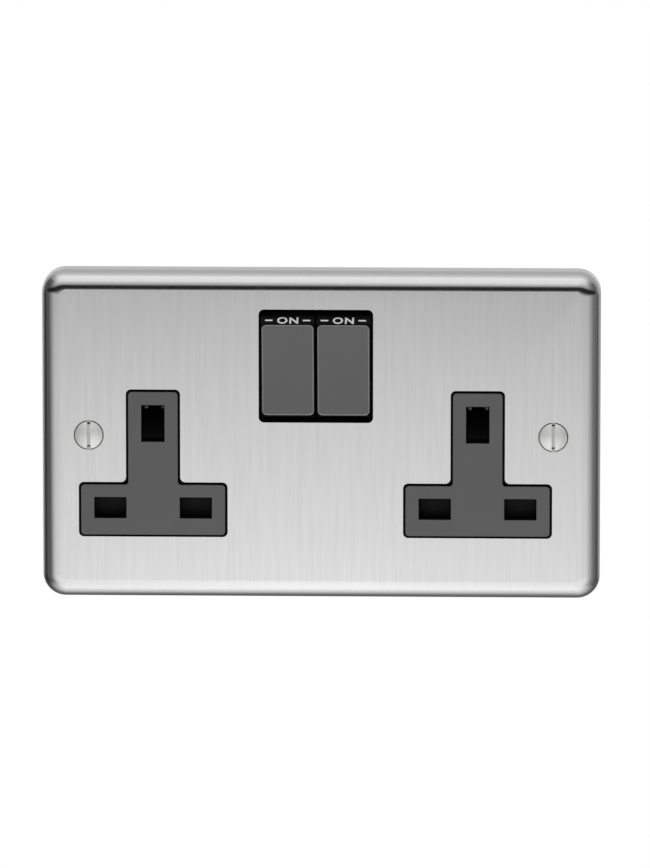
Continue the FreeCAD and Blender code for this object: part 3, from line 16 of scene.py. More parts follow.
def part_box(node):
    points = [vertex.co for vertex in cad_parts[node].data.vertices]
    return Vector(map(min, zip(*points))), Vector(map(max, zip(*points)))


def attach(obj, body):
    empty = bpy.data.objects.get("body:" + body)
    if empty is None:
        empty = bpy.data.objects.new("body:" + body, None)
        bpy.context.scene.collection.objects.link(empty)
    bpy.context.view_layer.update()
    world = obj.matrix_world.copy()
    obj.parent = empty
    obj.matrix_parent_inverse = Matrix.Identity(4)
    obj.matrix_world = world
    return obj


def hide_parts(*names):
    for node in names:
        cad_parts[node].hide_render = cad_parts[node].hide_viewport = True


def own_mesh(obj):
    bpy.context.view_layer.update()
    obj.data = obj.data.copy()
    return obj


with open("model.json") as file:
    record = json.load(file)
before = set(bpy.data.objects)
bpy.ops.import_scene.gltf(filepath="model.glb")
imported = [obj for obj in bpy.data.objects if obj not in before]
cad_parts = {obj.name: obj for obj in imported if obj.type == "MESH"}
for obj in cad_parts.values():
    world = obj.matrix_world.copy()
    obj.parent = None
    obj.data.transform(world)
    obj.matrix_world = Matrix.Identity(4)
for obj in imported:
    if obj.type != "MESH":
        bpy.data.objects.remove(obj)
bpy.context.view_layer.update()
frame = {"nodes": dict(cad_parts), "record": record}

MM = 0.001
FIXED = "housing"  # the body that carries all that doesn't move
FLAT_ON = 0.98  # a face whose normal's Y is beyond this lies flat in the front or the back
log = logging.getLogger("twin_socket")

Colour = tuple[float, float, float, float]
Stops = tuple[tuple[float, float], ...]


class Side(Enum):
    """The two sockets and their switches, seen from the front."""

    LEFT = "left"
    RIGHT = "right"

    @property
    def sign(self) -> int:
        """Way along X from the middle of the plate."""
        return -1 if self is Side.LEFT else 1


def hex_colour(code: str) -> Colour:
    """Turn an sRGB hex code into a linear colour, by the curve of the sRGB standard.

    Args:
        code: Six hex digits, such as "5c5c5c".

    Returns:
        Red, green, blue and an alpha of one.
    """
    parts = [int(code[index:index + 2], 16) / 255 for index in (0, 2, 4)]
    linear = [part / 12.92 if part <= 0.04045 else ((part + 0.055) / 1.055) ** 2.4 for part in parts]
    return (*linear, 1.0)


def scale_colour(colour: Colour, share: float) -> Colour:
    """Give a colour made darker or lighter, with no part above one."""
    return (*(min(part * share, 1.0) for part in colour[:3]), 1.0)


def add_node(tree: bpy.types.NodeTree, kind: str, settings: dict | None = None,
             links: dict | None = None) -> bpy.types.Node:
    """Add a node with its settings and its incoming links.

    Args:
        tree: Node tree that takes the node.
        kind: Node type.
        settings: Values by property name, or by input name or number.
        links: Source sockets by input name or number.

    Returns:
        The new node.
    """
    node = tree.nodes.new(kind)
    for key, value in (settings or {}).items():
        if isinstance(key, str) and hasattr(node, key):
            setattr(node, key, value)
        else:
            node.inputs[key].default_value = value
    for key, source in (links or {}).items():
        tree.links.new(source, node.inputs[key])
    return node


def clear_selection() -> None:
    """Leave object mode with nothing selected."""
    if bpy.context.object and bpy.context.object.mode != "OBJECT":
        bpy.ops.object.mode_set(mode="OBJECT")
    bpy.ops.object.select_all(action="DESELECT")


def pick(piece: bpy.types.Object) -> None:
    """Make a piece the only selected and the active one.

    Args:
        piece: Object to work on.
    """
    clear_selection()
    piece.select_set(True)
    bpy.context.view_layer.objects.active = piece


def open_mesh(piece: bpy.types.Object) -> None:
    """Open a piece in edit mode with its whole mesh selected.

    Args:
        piece: Object to work on.
    """
    pick(piece)
    bpy.ops.object.mode_set(mode="EDIT")
    bpy.ops.mesh.select_all(action="SELECT")


def settle(piece: bpy.types.Object) -> None:
    """Move a piece's place, turn and scale into its mesh."""
    pick(piece)
    bpy.ops.object.transform_apply(location=True, rotation=True, scale=True)


# Finishes


@dataclass(frozen=True)
class Finish:
    """A surface finish that becomes one procedural material."""

    name: str
    colour: str = "808080"
    roughness: float = 0.4
    bump_mm: float = 0.004
    tint: tuple[float, float] = (0.95, 1.05)  # darkest and lightest share of the colour
    gloss: tuple[float, float] = (-0.05, 0.05)  # least and most that the roughness drifts by
    relief: float = 0.4  # strength of the bump

    def build(self) -> bpy.types.Material:
        """Make the material.

        Returns:
            The new material, or the one of this name that is there already.
        """
        made = bpy.data.materials.get(self.name)
        if made:
            return made
        material = bpy.data.materials.new(self.name)
        material.use_nodes = True
        tree = material.node_tree
        tree.nodes.clear()
        shader = add_node(tree, "ShaderNodeBsdfPrincipled")
        add_node(tree, "ShaderNodeOutputMaterial", links={"Surface": shader.outputs[0]})
        place = add_node(tree, "ShaderNodeTexCoord").outputs["Object"]
        self.shade(tree, shader, place)
        return material

    def shade(self, tree: bpy.types.NodeTree, shader: bpy.types.Node, place: bpy.types.NodeSocket) -> None:
        """Set the shader up; each finish has its own."""
        raise NotImplementedError

    def vary(self, tree: bpy.types.NodeTree, shader: bpy.types.Node, tint_by: bpy.types.NodeSocket,
             gloss_by: bpy.types.NodeSocket, height_by: bpy.types.NodeSocket) -> None:
        """Let patterns vary the shader's colour, roughness and height.

        Args:
            tree: Node tree of the material.
            shader: Shader that takes the three.
            tint_by: Pattern for the colour.
            gloss_by: Pattern for the roughness.
            height_by: Pattern for the bump.
        """
        base = hex_colour(self.colour)
        tint = add_node(tree, "ShaderNodeMix", {"data_type": "RGBA", "blend_type": "MIX"},
                        {"Factor": tint_by})
        tint.inputs["A"].default_value = scale_colour(base, self.tint[0])
        tint.inputs["B"].default_value = scale_colour(base, self.tint[1])
        gloss = add_node(tree, "ShaderNodeMapRange",
                         {"To Min": self.roughness + self.gloss[0], "To Max": self.roughness + self.gloss[1]},
                         {"Value": gloss_by})
        height = add_node(tree, "ShaderNodeBump",
                          {"Strength": self.relief, "Distance": self.bump_mm * MM}, {"Height": height_by})
        tree.links.new(tint.outputs["Result"], shader.inputs["Base Color"])
        tree.links.new(gloss.outputs["Result"], shader.inputs["Roughness"])
        tree.links.new(height.outputs["Normal"], shader.inputs["Normal"])


@dataclass(frozen=True)
class BrushedSteel(Finish):
    """Stainless sheet drawn over an abrasive belt: fine upright lines, wide soft highlights."""

    colour: str = "cdcdcd"
    roughness: float = 0.19
    bump_mm: float = 0.002
    tint: tuple[float, float] = (0.9, 1.1)
    gloss: tuple[float, float] = (-0.04, 0.04)
    relief: float = 0.5
    anisotropy: float = 0.75
    line_mm: float = 0.17  # the real lines are near 0.05 mm, too fine to show
    run_mm: float = 14.0
    line_depth: float = 4.0  # a line goes this many of its widths into the sheet
    patch: tuple[float, float] = (9.0, 2.0)  # lines and runs in a patch of one gloss

    def shade(self, tree: bpy.types.NodeTree, shader: bpy.types.Node, place: bpy.types.NodeSocket) -> None:
        """Draw the lines of the belt in colour, roughness and height.

        Args:
            tree: Node tree of the material.
            shader: Shader that takes the lines.
            place: Object coordinates.
        """
        across = 1 / (self.line_mm * MM)
        along = 1 / (self.run_mm * MM)
        stretch = add_node(tree, "ShaderNodeMapping", {"Scale": (across, across / self.line_depth, along)},
                           {"Vector": place})
        lines = add_node(tree, "ShaderNodeTexNoise", {"Scale": 1.0, "Detail": 4.0, "Roughness": 0.65},
                         {"Vector": stretch.outputs[0]})
        width, length = self.patch
        spread = add_node(tree, "ShaderNodeMapping",
                          {"Scale": (across / width, across / width, along / length)}, {"Vector": place})
        patches = add_node(tree, "ShaderNodeTexNoise", {"Scale": 1.0, "Detail": 2.0},
                           {"Vector": spread.outputs[0]})
        across_lines = add_node(tree, "ShaderNodeCombineXYZ", {"X": 1.0})
        shader.inputs["Metallic"].default_value = 1.0
        shader.inputs["Anisotropic"].default_value = self.anisotropy
        tree.links.new(across_lines.outputs["Vector"], shader.inputs["Tangent"])
        self.vary(tree, shader, lines.outputs["Fac"], patches.outputs["Fac"], lines.outputs["Fac"])


@dataclass(frozen=True)
class MouldedPlastic(Finish):
    """Thermoplastic from a spark-eroded mould: fine even grain, soft sheen."""

    roughness: float = 0.45
    bump_mm: float = 0.006
    grain_mm: float = 0.3  # the real grain is near 0.1 mm, too fine to show
    cloud_mm: float = 25.0 / 3  # size of the patches that differ a little in colour
    sheen: float = 0.4

    def shade(self, tree: bpy.types.NodeTree, shader: bpy.types.Node, place: bpy.types.NodeSocket) -> None:
        """Draw the mould grain and the slow drift of the colour.

        Args:
            tree: Node tree of the material.
            shader: Shader that takes the grain.
            place: Object coordinates.
        """
        grain = add_node(tree, "ShaderNodeTexNoise", {"Scale": 1 / (self.grain_mm * MM), "Detail": 3.0},
                         {"Vector": place})
        cloud = add_node(tree, "ShaderNodeTexNoise", {"Scale": 1 / (self.cloud_mm * MM), "Detail": 2.0},
                         {"Vector": place})
        shader.inputs["Specular IOR Level"].default_value = self.sheen
        self.vary(tree, shader, cloud.outputs["Fac"], grain.outputs["Fac"], grain.outputs["Fac"])


@dataclass(frozen=True)
class WorkedMetal(Finish):
    """Plated or bare metal with a faint grain of its making."""

    roughness: float = 0.25
    bump_mm: float = 0.003
    tint: tuple[float, float] = (0.92, 1.06)
    gloss: tuple[float, float] = (-0.05, 0.08)
    grain_mm: float = 0.5  # the real marks are a tenth of that, too fine to show
    metallic: float = 1.0

    def shade(self, tree: bpy.types.NodeTree, shader: bpy.types.Node, place: bpy.types.NodeSocket) -> None:
        """Draw a fine unevenness in colour, gloss and height.

        Args:
            tree: Node tree of the material.
            shader: Shader that takes the grain.
            place: Object coordinates.
        """
        grain = add_node(tree, "ShaderNodeTexNoise", {"Scale": 1 / (self.grain_mm * MM), "Detail": 4.0},
                         {"Vector": place})
        shader.inputs["Metallic"].default_value = self.metallic
        self.vary(tree, shader, grain.outputs["Fac"], grain.outputs["Fac"], grain.outputs["Fac"])


# Stainless steel drawn over a belt: pale grey, with fine upright lines and highlights spread sideways.
PLATE_STEEL = BrushedSteel("brushed_stainless_plate")
# Polycarbonate as moulded: near black, with hardly any sheen.
BLACK_MOULDING = MouldedPlastic("black_moulded_polycarbonate", "050505", 0.5, sheen=0.06)
# Urea moulding: an even mid grey with a soft satin.
GREY_INSERT = MouldedPlastic("grey_moulded_insert", "656565", 0.45, sheen=0.35)
# The same grey moulded smoother: a little darker, with a clearer sheen.
GREY_CAP = MouldedPlastic("grey_moulded_rocker_cap", "525252", 0.3, sheen=0.6)
# Painted highlight: a thin paler grey line round the cap's rounded edges.
CAP_EDGE_PAINTED_HIGHLIGHT = MouldedPlastic("painted_highlight_rocker_cap_edge", "8c8c8c", 0.3, sheen=0.6)
# Off-white urea of the rear moulding: warm and dull.
OFF_WHITE_BASE = MouldedPlastic("off_white_moulded_base", "dcd9cf", 0.5)
# Dark acetal behind the slots: it lets them look almost black.
DARK_SHUTTER = MouldedPlastic("dark_moulded_shutter", "1c1c1c", 0.5, sheen=0.15)
# Undyed nylon: creamy and a little waxy.
NYLON = MouldedPlastic("natural_nylon", "d9d3bf", 0.45)
# Matt nickel plate: its fine pits scatter half the light, so the heads look pale all over.
NICKEL_SCREW = WorkedMetal("nickel_plated_screw", "f0f0ec", 0.5, metallic=0.45)
# Bright zinc plate: cool grey with a broad highlight.
ZINC_STEEL = WorkedMetal("zinc_plated_steel", "c4c5c2", 0.34)
# Drawn spring wire: darker steel, bright along the turns.
SPRING_WIRE = WorkedMetal("bright_spring_wire", "a9a9a6", 0.3)
# Yellowish passivated plate of the terminal screws.
PLATED_SCREW = WorkedMetal("plated_terminal_screw", "c9c4b0", 0.32)
# Brass strip from the press: warm yellow with a soft shine.
STAMPED_BRASS = WorkedMetal("stamped_brass_strip", "d1ab6a", 0.3)
# Tin over brass: grey and dull, so the clips stay dark in the earth slots.
TINNED_BRASS = WorkedMetal("tin_plated_brass_strip", "8c8c88", 0.42)
# Extruded brass, drilled and tapped: as the strip, a little duller.
DRILLED_BRASS = WorkedMetal("drilled_brass_block", "cda765", 0.34)
# Copper strip: reddish with a soft shine.
CONTACT_COPPER = WorkedMetal("copper_contact_strip", "c98f66", 0.32)
# Pad-printed ink: plain white with a slight tooth.
LEGEND_INK = MouldedPlastic("white_legend_ink", "fafafa", 0.5, bump_mm=0.002, grain_mm=0.2, tint=(0.98, 1.02))


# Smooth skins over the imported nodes


@dataclass
class Skin:
    """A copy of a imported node, merged and smoothly shaded, in its finish."""

    node: str
    body: str
    finish: Finish
    crease_deg: float = 28.0
    merge_mm: float = 0.001
    flat_weight: int = 100  # large flat faces alone rule the shading of their edges

    def build(self) -> bpy.types.Object:
        """Copy, merge, shade and dress the node's mesh.

        Returns:
            The skin, riding on its body in place of the node.
        """
        source = frame["nodes"][self.node]
        piece = bpy.data.objects.new(self.node + "_skin", source.data.copy())
        bpy.context.scene.collection.objects.link(piece)
        open_mesh(piece)
        bpy.ops.mesh.remove_doubles(threshold=self.merge_mm * MM)
        bpy.ops.object.mode_set(mode="OBJECT")
        if piece.data.has_custom_normals:
            bpy.ops.mesh.customdata_custom_splitnormals_clear()
        self.shape(piece)
        bpy.ops.object.shade_smooth_by_angle(angle=math.radians(self.crease_deg))
        bpy.ops.object.modifier_add(type="WEIGHTED_NORMAL")
        modifier = piece.modifiers[-1]
        modifier.keep_sharp = True
        modifier.weight = self.flat_weight
        bpy.ops.object.modifier_apply(modifier=modifier.name)
        piece.data.materials.clear()
        piece.data.materials.append(self.finish.build())
        self.dress(piece)
        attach(piece, self.body)
        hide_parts(self.node)
        log.info("%s: skin of %d faces", self.node, len(piece.data.polygons))
        return piece

    def shape(self, piece: bpy.types.Object) -> None:
        """Change the copy's shape; most nodes need nothing."""

    def dress(self, piece: bpy.types.Object) -> None:
        """Give some faces a second finish; most nodes have one."""


@dataclass
class PlateSkin(Skin):
    """The pressed plate, whose edge starts to roll a little further in than an arc would."""

    half_mm: tuple[float, float] = (72.5, 43.0)
    corner_mm: float = 6.0
    round_mm: float = 4.0
    eased_mm: float = 4.85
    face_mm: float = 9.0
    edge_slack: float = 0.001
    arc_slack: float = 0.004

    def shape(self, piece: bpy.types.Object) -> None:
        """Widen the arc of the front edge into the quarter of an ellipse.

        Args:
            piece: Copy of the plate.
        """
        for vertex in piece.data.vertices:
            place = vertex.co / MM
            way, inward = self.from_outline(place.x, place.z)
            along = (self.round_mm - inward) / self.round_mm
            forward = (-place.y - self.face_mm + self.round_mm) / self.round_mm
            off_arc = abs(math.hypot(along, forward) - 1) > self.arc_slack
            if along < -self.edge_slack or forward < 0 or off_arc:
                continue
            shift = (self.eased_mm - self.round_mm) * (1 - along)
            vertex.co -= Vector((way[0], 0.0, way[1])) * shift * MM

    def from_outline(self, x: float, z: float) -> tuple[tuple[float, float], float]:
        """Find the way out to the plate's outline and the distance in from it.

        Args:
            x: Place across, in millimetres.
            z: Place upwards, in millimetres.

        Returns:
            Outward direction in X and Z, and the distance.
        """
        sign = (math.copysign(1, x), math.copysign(1, z))
        past = [abs(value) - (half - self.corner_mm) for value, half in zip((x, z), self.half_mm)]
        if past[0] > 0 and past[1] > 0:
            reach = math.hypot(*past)
            return (sign[0] * past[0] / reach, sign[1] * past[1] / reach), self.corner_mm - reach
        if past[0] > past[1]:
            return (sign[0], 0.0), self.corner_mm - past[0]
        return (0.0, sign[1]), self.corner_mm - past[1]


@dataclass
class InsertSkin(Skin):
    """A grey insert, whose slot walls, slot leads and faces behind the grey front get the black moulding as
    painted shade.
    """

    grey_mm: float = 0.7
    lead_mm: float = 0.6

    def painted_shade_start(self) -> float:
        """Give the Y at which the grey front ends and the painted shade begins, in metres."""
        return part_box(self.node)[0][1] + self.grey_mm * MM

    def shape(self, piece: bpy.types.Object) -> None:
        """Cut the slot walls where the grey front ends and the painted shade begins.

        Args:
            piece: Copy of the insert.
        """
        open_mesh(piece)
        bpy.ops.mesh.bisect(plane_co=(0, self.painted_shade_start(), 0), plane_no=(0, 1, 0))
        bpy.ops.object.mode_set(mode="OBJECT")

    def dress(self, piece: bpy.types.Object) -> None:
        """Paint shade: make everything behind the grey front black, and the leads of the slots too.

        Args:
            piece: Copy of the insert.
        """
        piece.data.materials.append(BLACK_MOULDING.build())
        end = self.painted_shade_start()
        for face in piece.data.polygons:
            slanted = abs(face.normal.y) < FLAT_ON
            # Painted shade: the black moulding on faces deep in the insert and on the leads of the slots.
            if face.center.y > end or (slanted and self.in_a_slot(face.center)):
                face.material_index = 1

    def in_a_slot(self, place: Vector) -> bool:
        """Tell whether a place lies in one of the pin slots or on its lead.

        Args:
            place: Middle of a face.

        Returns:
            True inside a slot's box, widened by the lead.
        """
        room = self.lead_mm * MM
        for opening in frame["record"]["physics"]["openings"]:
            low, high = opening["box_m"]
            if opening["name"].endswith("pin_slot") and all(
                    low[axis] - room < place[axis] < high[axis] + room for axis in (0, 2)):
                return True
        return False


@dataclass
class CapSkin(Skin):
    """A rocker's cap, whose rounded edges get a paler grey as a painted highlight."""

    front_slack: float = 0.02  # a face turned off the front by less still belongs to it
    edge_ends: float = -0.3  # and one whose normal's Y is above this belongs to the flank

    def dress(self, piece: bpy.types.Object) -> None:
        """Give the rounded front edges the paler grey of the painted highlight.

        Args:
            piece: Copy of the cap.
        """
        piece.data.materials.append(CAP_EDGE_PAINTED_HIGHLIGHT.build())
        front = min(face.normal.y for face in piece.data.polygons)
        for face in piece.data.polygons:
            # The rounded edges between the front and the flank take the paler grey of the painted highlight.
            if front + self.front_slack < face.normal.y < self.edge_ends:
                face.material_index = 1


@dataclass
class SpringSkin(Skin):
    """A coil spring, dressed with a mesh of its own."""

    joint: str = ""
    spare: float = 1.03  # a shortening of this much more than the slide; the spring here keeps its length

    def build(self) -> bpy.types.Object:
        """Dress the spring and give it a mesh of its own.

        Returns:
            The skin of the spring.
        """
        piece = super().build()
        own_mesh(piece)
        return piece


@dataclass
class ScrewSkin(Skin):
    """A fixing screw, whose shank is turned down to the root of its thread."""

    across_mm: float = 60.3
    shank_mm: float = 1.75
    root_mm: float = 1.4
    slack_mm: float = 0.01

    def shape(self, piece: bpy.types.Object) -> None:
        """Draw the threaded length in to its root.

        Args:
            piece: Copy of the screw.
        """
        for vertex in piece.data.vertices:
            away = Vector((vertex.co.x - self.across_mm * MM, 0.0, vertex.co.z))
            if abs(away.length / MM - self.shank_mm) < self.slack_mm:
                vertex.co -= away * (1 - self.root_mm / self.shank_mm)


@dataclass
class ScrewThread:
    """Helical ridge on the plain shank of a fixing screw."""

    name: str
    across_mm: float = 60.3
    root_mm: float = 1.45
    ridge_mm: float = 0.3
    pitch_mm: float = 1.0  # the real one is 0.6 mm, too fine to show
    start_mm: float = -2.1
    turns: int = 17
    steps: int = 20
    merge_mm: float = 0.0001
    crease_deg: float = 40.0

    def build(self) -> None:
        """Turn a small triangle along the shank with a screw modifier."""
        clear_selection()
        bpy.ops.mesh.primitive_circle_add(vertices=3, radius=self.ridge_mm * MM, fill_type="NOTHING",
                                          rotation=(math.pi / 2, math.pi / 2, 0))
        thread = bpy.context.object
        thread.name = self.name
        settle(thread)
        thread.data.transform(Matrix.Translation(Vector((self.root_mm, 0, 0)) * MM))
        bpy.ops.object.modifier_add(type="SCREW")
        turned = thread.modifiers[-1]
        turned.angle = 2 * math.pi
        turned.screw_offset = self.pitch_mm * MM
        turned.iterations = self.turns
        turned.steps = turned.render_steps = self.steps
        turned.use_merge_vertices = True
        turned.merge_threshold = self.merge_mm * MM
        bpy.ops.object.modifier_apply(modifier=turned.name)
        into_wall = Matrix.Rotation(-math.pi / 2, 4, "X")
        place = Matrix.Translation(Vector((self.across_mm, self.start_mm, 0.0)) * MM)
        thread.data.transform(place @ into_wall)
        open_mesh(thread)
        bpy.ops.mesh.fill_holes(sides=3)
        bpy.ops.mesh.normals_make_consistent(inside=False)
        bpy.ops.object.mode_set(mode="OBJECT")
        bpy.ops.object.shade_smooth_by_angle(angle=math.radians(self.crease_deg))
        thread.data.materials.clear()
        thread.data.materials.append(NICKEL_SCREW.build())
        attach(thread, FIXED)
        log.info("%s: %d faces", thread.name, len(thread.data.polygons))


# Sub-assemblies


@dataclass
class Plate:
    """Steel plate with its two fixing screws and the nuts that hold it."""

    screw_across_mm: float = 60.3

    def build(self) -> None:
        """Dress the plate and its fasteners."""
        PlateSkin("front_plate", FIXED, PLATE_STEEL).build()
        for side in Side:
            name = side.value + "_fixing_screw"
            across_mm = side.sign * self.screw_across_mm
            ScrewSkin(name, FIXED, NICKEL_SCREW, across_mm=across_mm).build()
            ScrewThread(name + "_thread", across_mm=across_mm).build()
        Skin("push_nuts", FIXED, ZINC_STEEL).build()


@dataclass
class SocketUnit:
    """Insert, shutter and shutter spring of one socket."""

    side: Side

    def build(self) -> None:
        """Dress the pieces that show through the slots."""
        name = self.side.value
        InsertSkin(name + "_socket_insert", FIXED, GREY_INSERT).build()
        Skin(name + "_shutter", name + "_shutter", DARK_SHUTTER).build()
        SpringSkin(name + "_shutter_spring", FIXED, SPRING_WIRE, joint=name + "_shutter_slide").build()


@dataclass
class Rocker:
    """One rocker switch: black dolly, grey cap, plunger, spring, moving contact and legend."""

    side: Side
    pivot_mm: tuple[float, float] = (-3.5, 18.8)  # Y and Z
    middle_mm: float = -1.3
    pitch_mm: float = 14.4
    tilt_deg: float = 8.0
    flank_low_mm: tuple[float, float] = (-7.75, 12.65)  # Y and Z from the pivot, untilted
    flank_high_mm: tuple[float, float] = (-4.1, 13.7)
    legend_mm: tuple[float, float] = (5.5, 3.0)
    legend_drop_mm: float = 0.5
    letter_space: float = 1.15
    bold: float = 0.028  # share of the letter's size that its strokes grow by
    curve_steps: int = 8
    dash_mm: tuple[float, float] = (1.95, 0.6)
    dash_reach_mm: float = 4.9
    ink_mm: float = 0.06
    merge_mm: float = 0.002

    def build(self) -> None:
        """Dress the rocker's pieces and print its legend."""
        name = self.side.value
        rocker = name + "_rocker"
        Skin(name + "_rocker_dolly", rocker, BLACK_MOULDING).build()
        CapSkin(name + "_rocker_cap", rocker, GREY_CAP).build()
        SpringSkin(name + "_plunger_spring", rocker, SPRING_WIRE, joint=name + "_plunger_slide").build()
        Skin(name + "_switch_plunger", name + "_plunger", NYLON).build()
        Skin(name + "_moving_contact", name + "_contact", CONTACT_COPPER).build()
        self.print_legend(rocker)

    def flank_place(self) -> Matrix:
        """Find the slanted upper end of the dolly.

        Returns:
            Its place: X to the right, Y up the slope, Z off the surface.
        """
        low, high = Vector(self.flank_low_mm), Vector(self.flank_high_mm)
        middle = (low + high) / 2
        slope = math.atan2(high.y - low.y, high.x - low.x)
        local = Matrix.Translation(Vector((0.0, middle.x, middle.y)) * MM) @ Matrix.Rotation(slope, 4, "X")
        local = local @ Matrix.Translation(Vector((0.0, -self.legend_drop_mm * MM, 0.0)))
        across_mm = self.middle_mm + self.side.sign * self.pitch_mm / 2
        pivot = Matrix.Translation(Vector((across_mm, *self.pivot_mm)) * MM)
        return pivot @ Matrix.Rotation(math.radians(self.tilt_deg), 4, "X") @ local

    def cut_word(self) -> bpy.types.Object:
        """Cut the flat word at its size, centred on the origin.

        Returns:
            The word as a mesh.
        """
        clear_selection()
        bpy.ops.object.text_add(location=(0, 0, 0))
        text = bpy.context.object.data
        text.body = "ON"
        text.align_x = text.align_y = "CENTER"
        text.size = 1.0
        text.resolution_u = self.curve_steps
        text.space_character = self.letter_space
        text.offset = self.bold
        pick(bpy.context.object)
        bpy.ops.object.convert(target="MESH")
        word = bpy.context.object
        width, height = self.legend_mm
        fit = Matrix.Diagonal((width * MM / word.dimensions.x, height * MM / word.dimensions.y, 1.0, 1.0))
        middle = sum((Vector(corner) for corner in word.bound_box), Vector()) / 8
        word.data.transform(fit @ Matrix.Translation(-middle))
        return word

    def print_legend(self, body: str) -> None:
        """Print the word and its two dashes on the slanted upper end.

        Args:
            body: Body that the legend rides on.
        """
        pieces = [self.cut_word()]
        for sign in (-1, 1):
            clear_selection()
            bpy.ops.mesh.primitive_plane_add(size=1.0, location=(sign * self.dash_reach_mm * MM, 0, 0))
            dash = bpy.context.object
            dash.scale = (self.dash_mm[0] * MM, self.dash_mm[1] * MM, 1.0)
            settle(dash)
            pieces.append(dash)
        clear_selection()
        for piece in pieces:
            piece.select_set(True)
        bpy.context.view_layer.objects.active = pieces[0]
        bpy.ops.object.join()
        legend = bpy.context.object
        legend.name = self.side.value + "_on_legend"
        open_mesh(legend)
        bpy.ops.mesh.remove_doubles(threshold=self.merge_mm * MM)
        bpy.ops.mesh.extrude_region_move(TRANSFORM_OT_translate={"value": (0, 0, self.ink_mm * MM)})
        bpy.ops.mesh.select_all(action="SELECT")
        bpy.ops.mesh.normals_make_consistent(inside=False)
        bpy.ops.object.mode_set(mode="OBJECT")
        legend.data.transform(self.flank_place())
        legend.data.materials.clear()
        legend.data.materials.append(LEGEND_INK.build())
        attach(legend, body)
        log.info("%s: legend of %d faces", legend.name, len(legend.data.polygons))


@dataclass
class Mechanism:
    """Mouldings, brass work and fasteners behind the plate."""

    mouldings: tuple[tuple[str, Finish], ...] = (("front_moulding", BLACK_MOULDING),
                                                 ("rear_base", OFF_WHITE_BASE))
    brass: tuple[str, ...] = ("left_live_contact", "right_live_contact", "live_busbar", "neutral_busbar")
    tinned: tuple[str, ...] = ("earth_busbar", "plate_earth_spring")
    terminals: tuple[str, ...] = ("neutral_terminal", "earth_terminal_left", "earth_terminal_right",
                                  "live_terminal")

    def build(self) -> None:
        """Dress the mouldings, the brass work and the fasteners."""
        for name, finish in self.mouldings:
            Skin(name, FIXED, finish).build()
        for name in self.brass:
            Skin(name, FIXED, STAMPED_BRASS).build()
        for name in self.tinned:
            Skin(name, FIXED, TINNED_BRASS).build()
        for name in self.terminals:
            Skin(name, FIXED, DRILLED_BRASS).build()
            Skin(name + "_screw", FIXED, PLATED_SCREW).build()
        Skin("base_screws", FIXED, ZINC_STEEL).build()


# Stage, lamp and camera


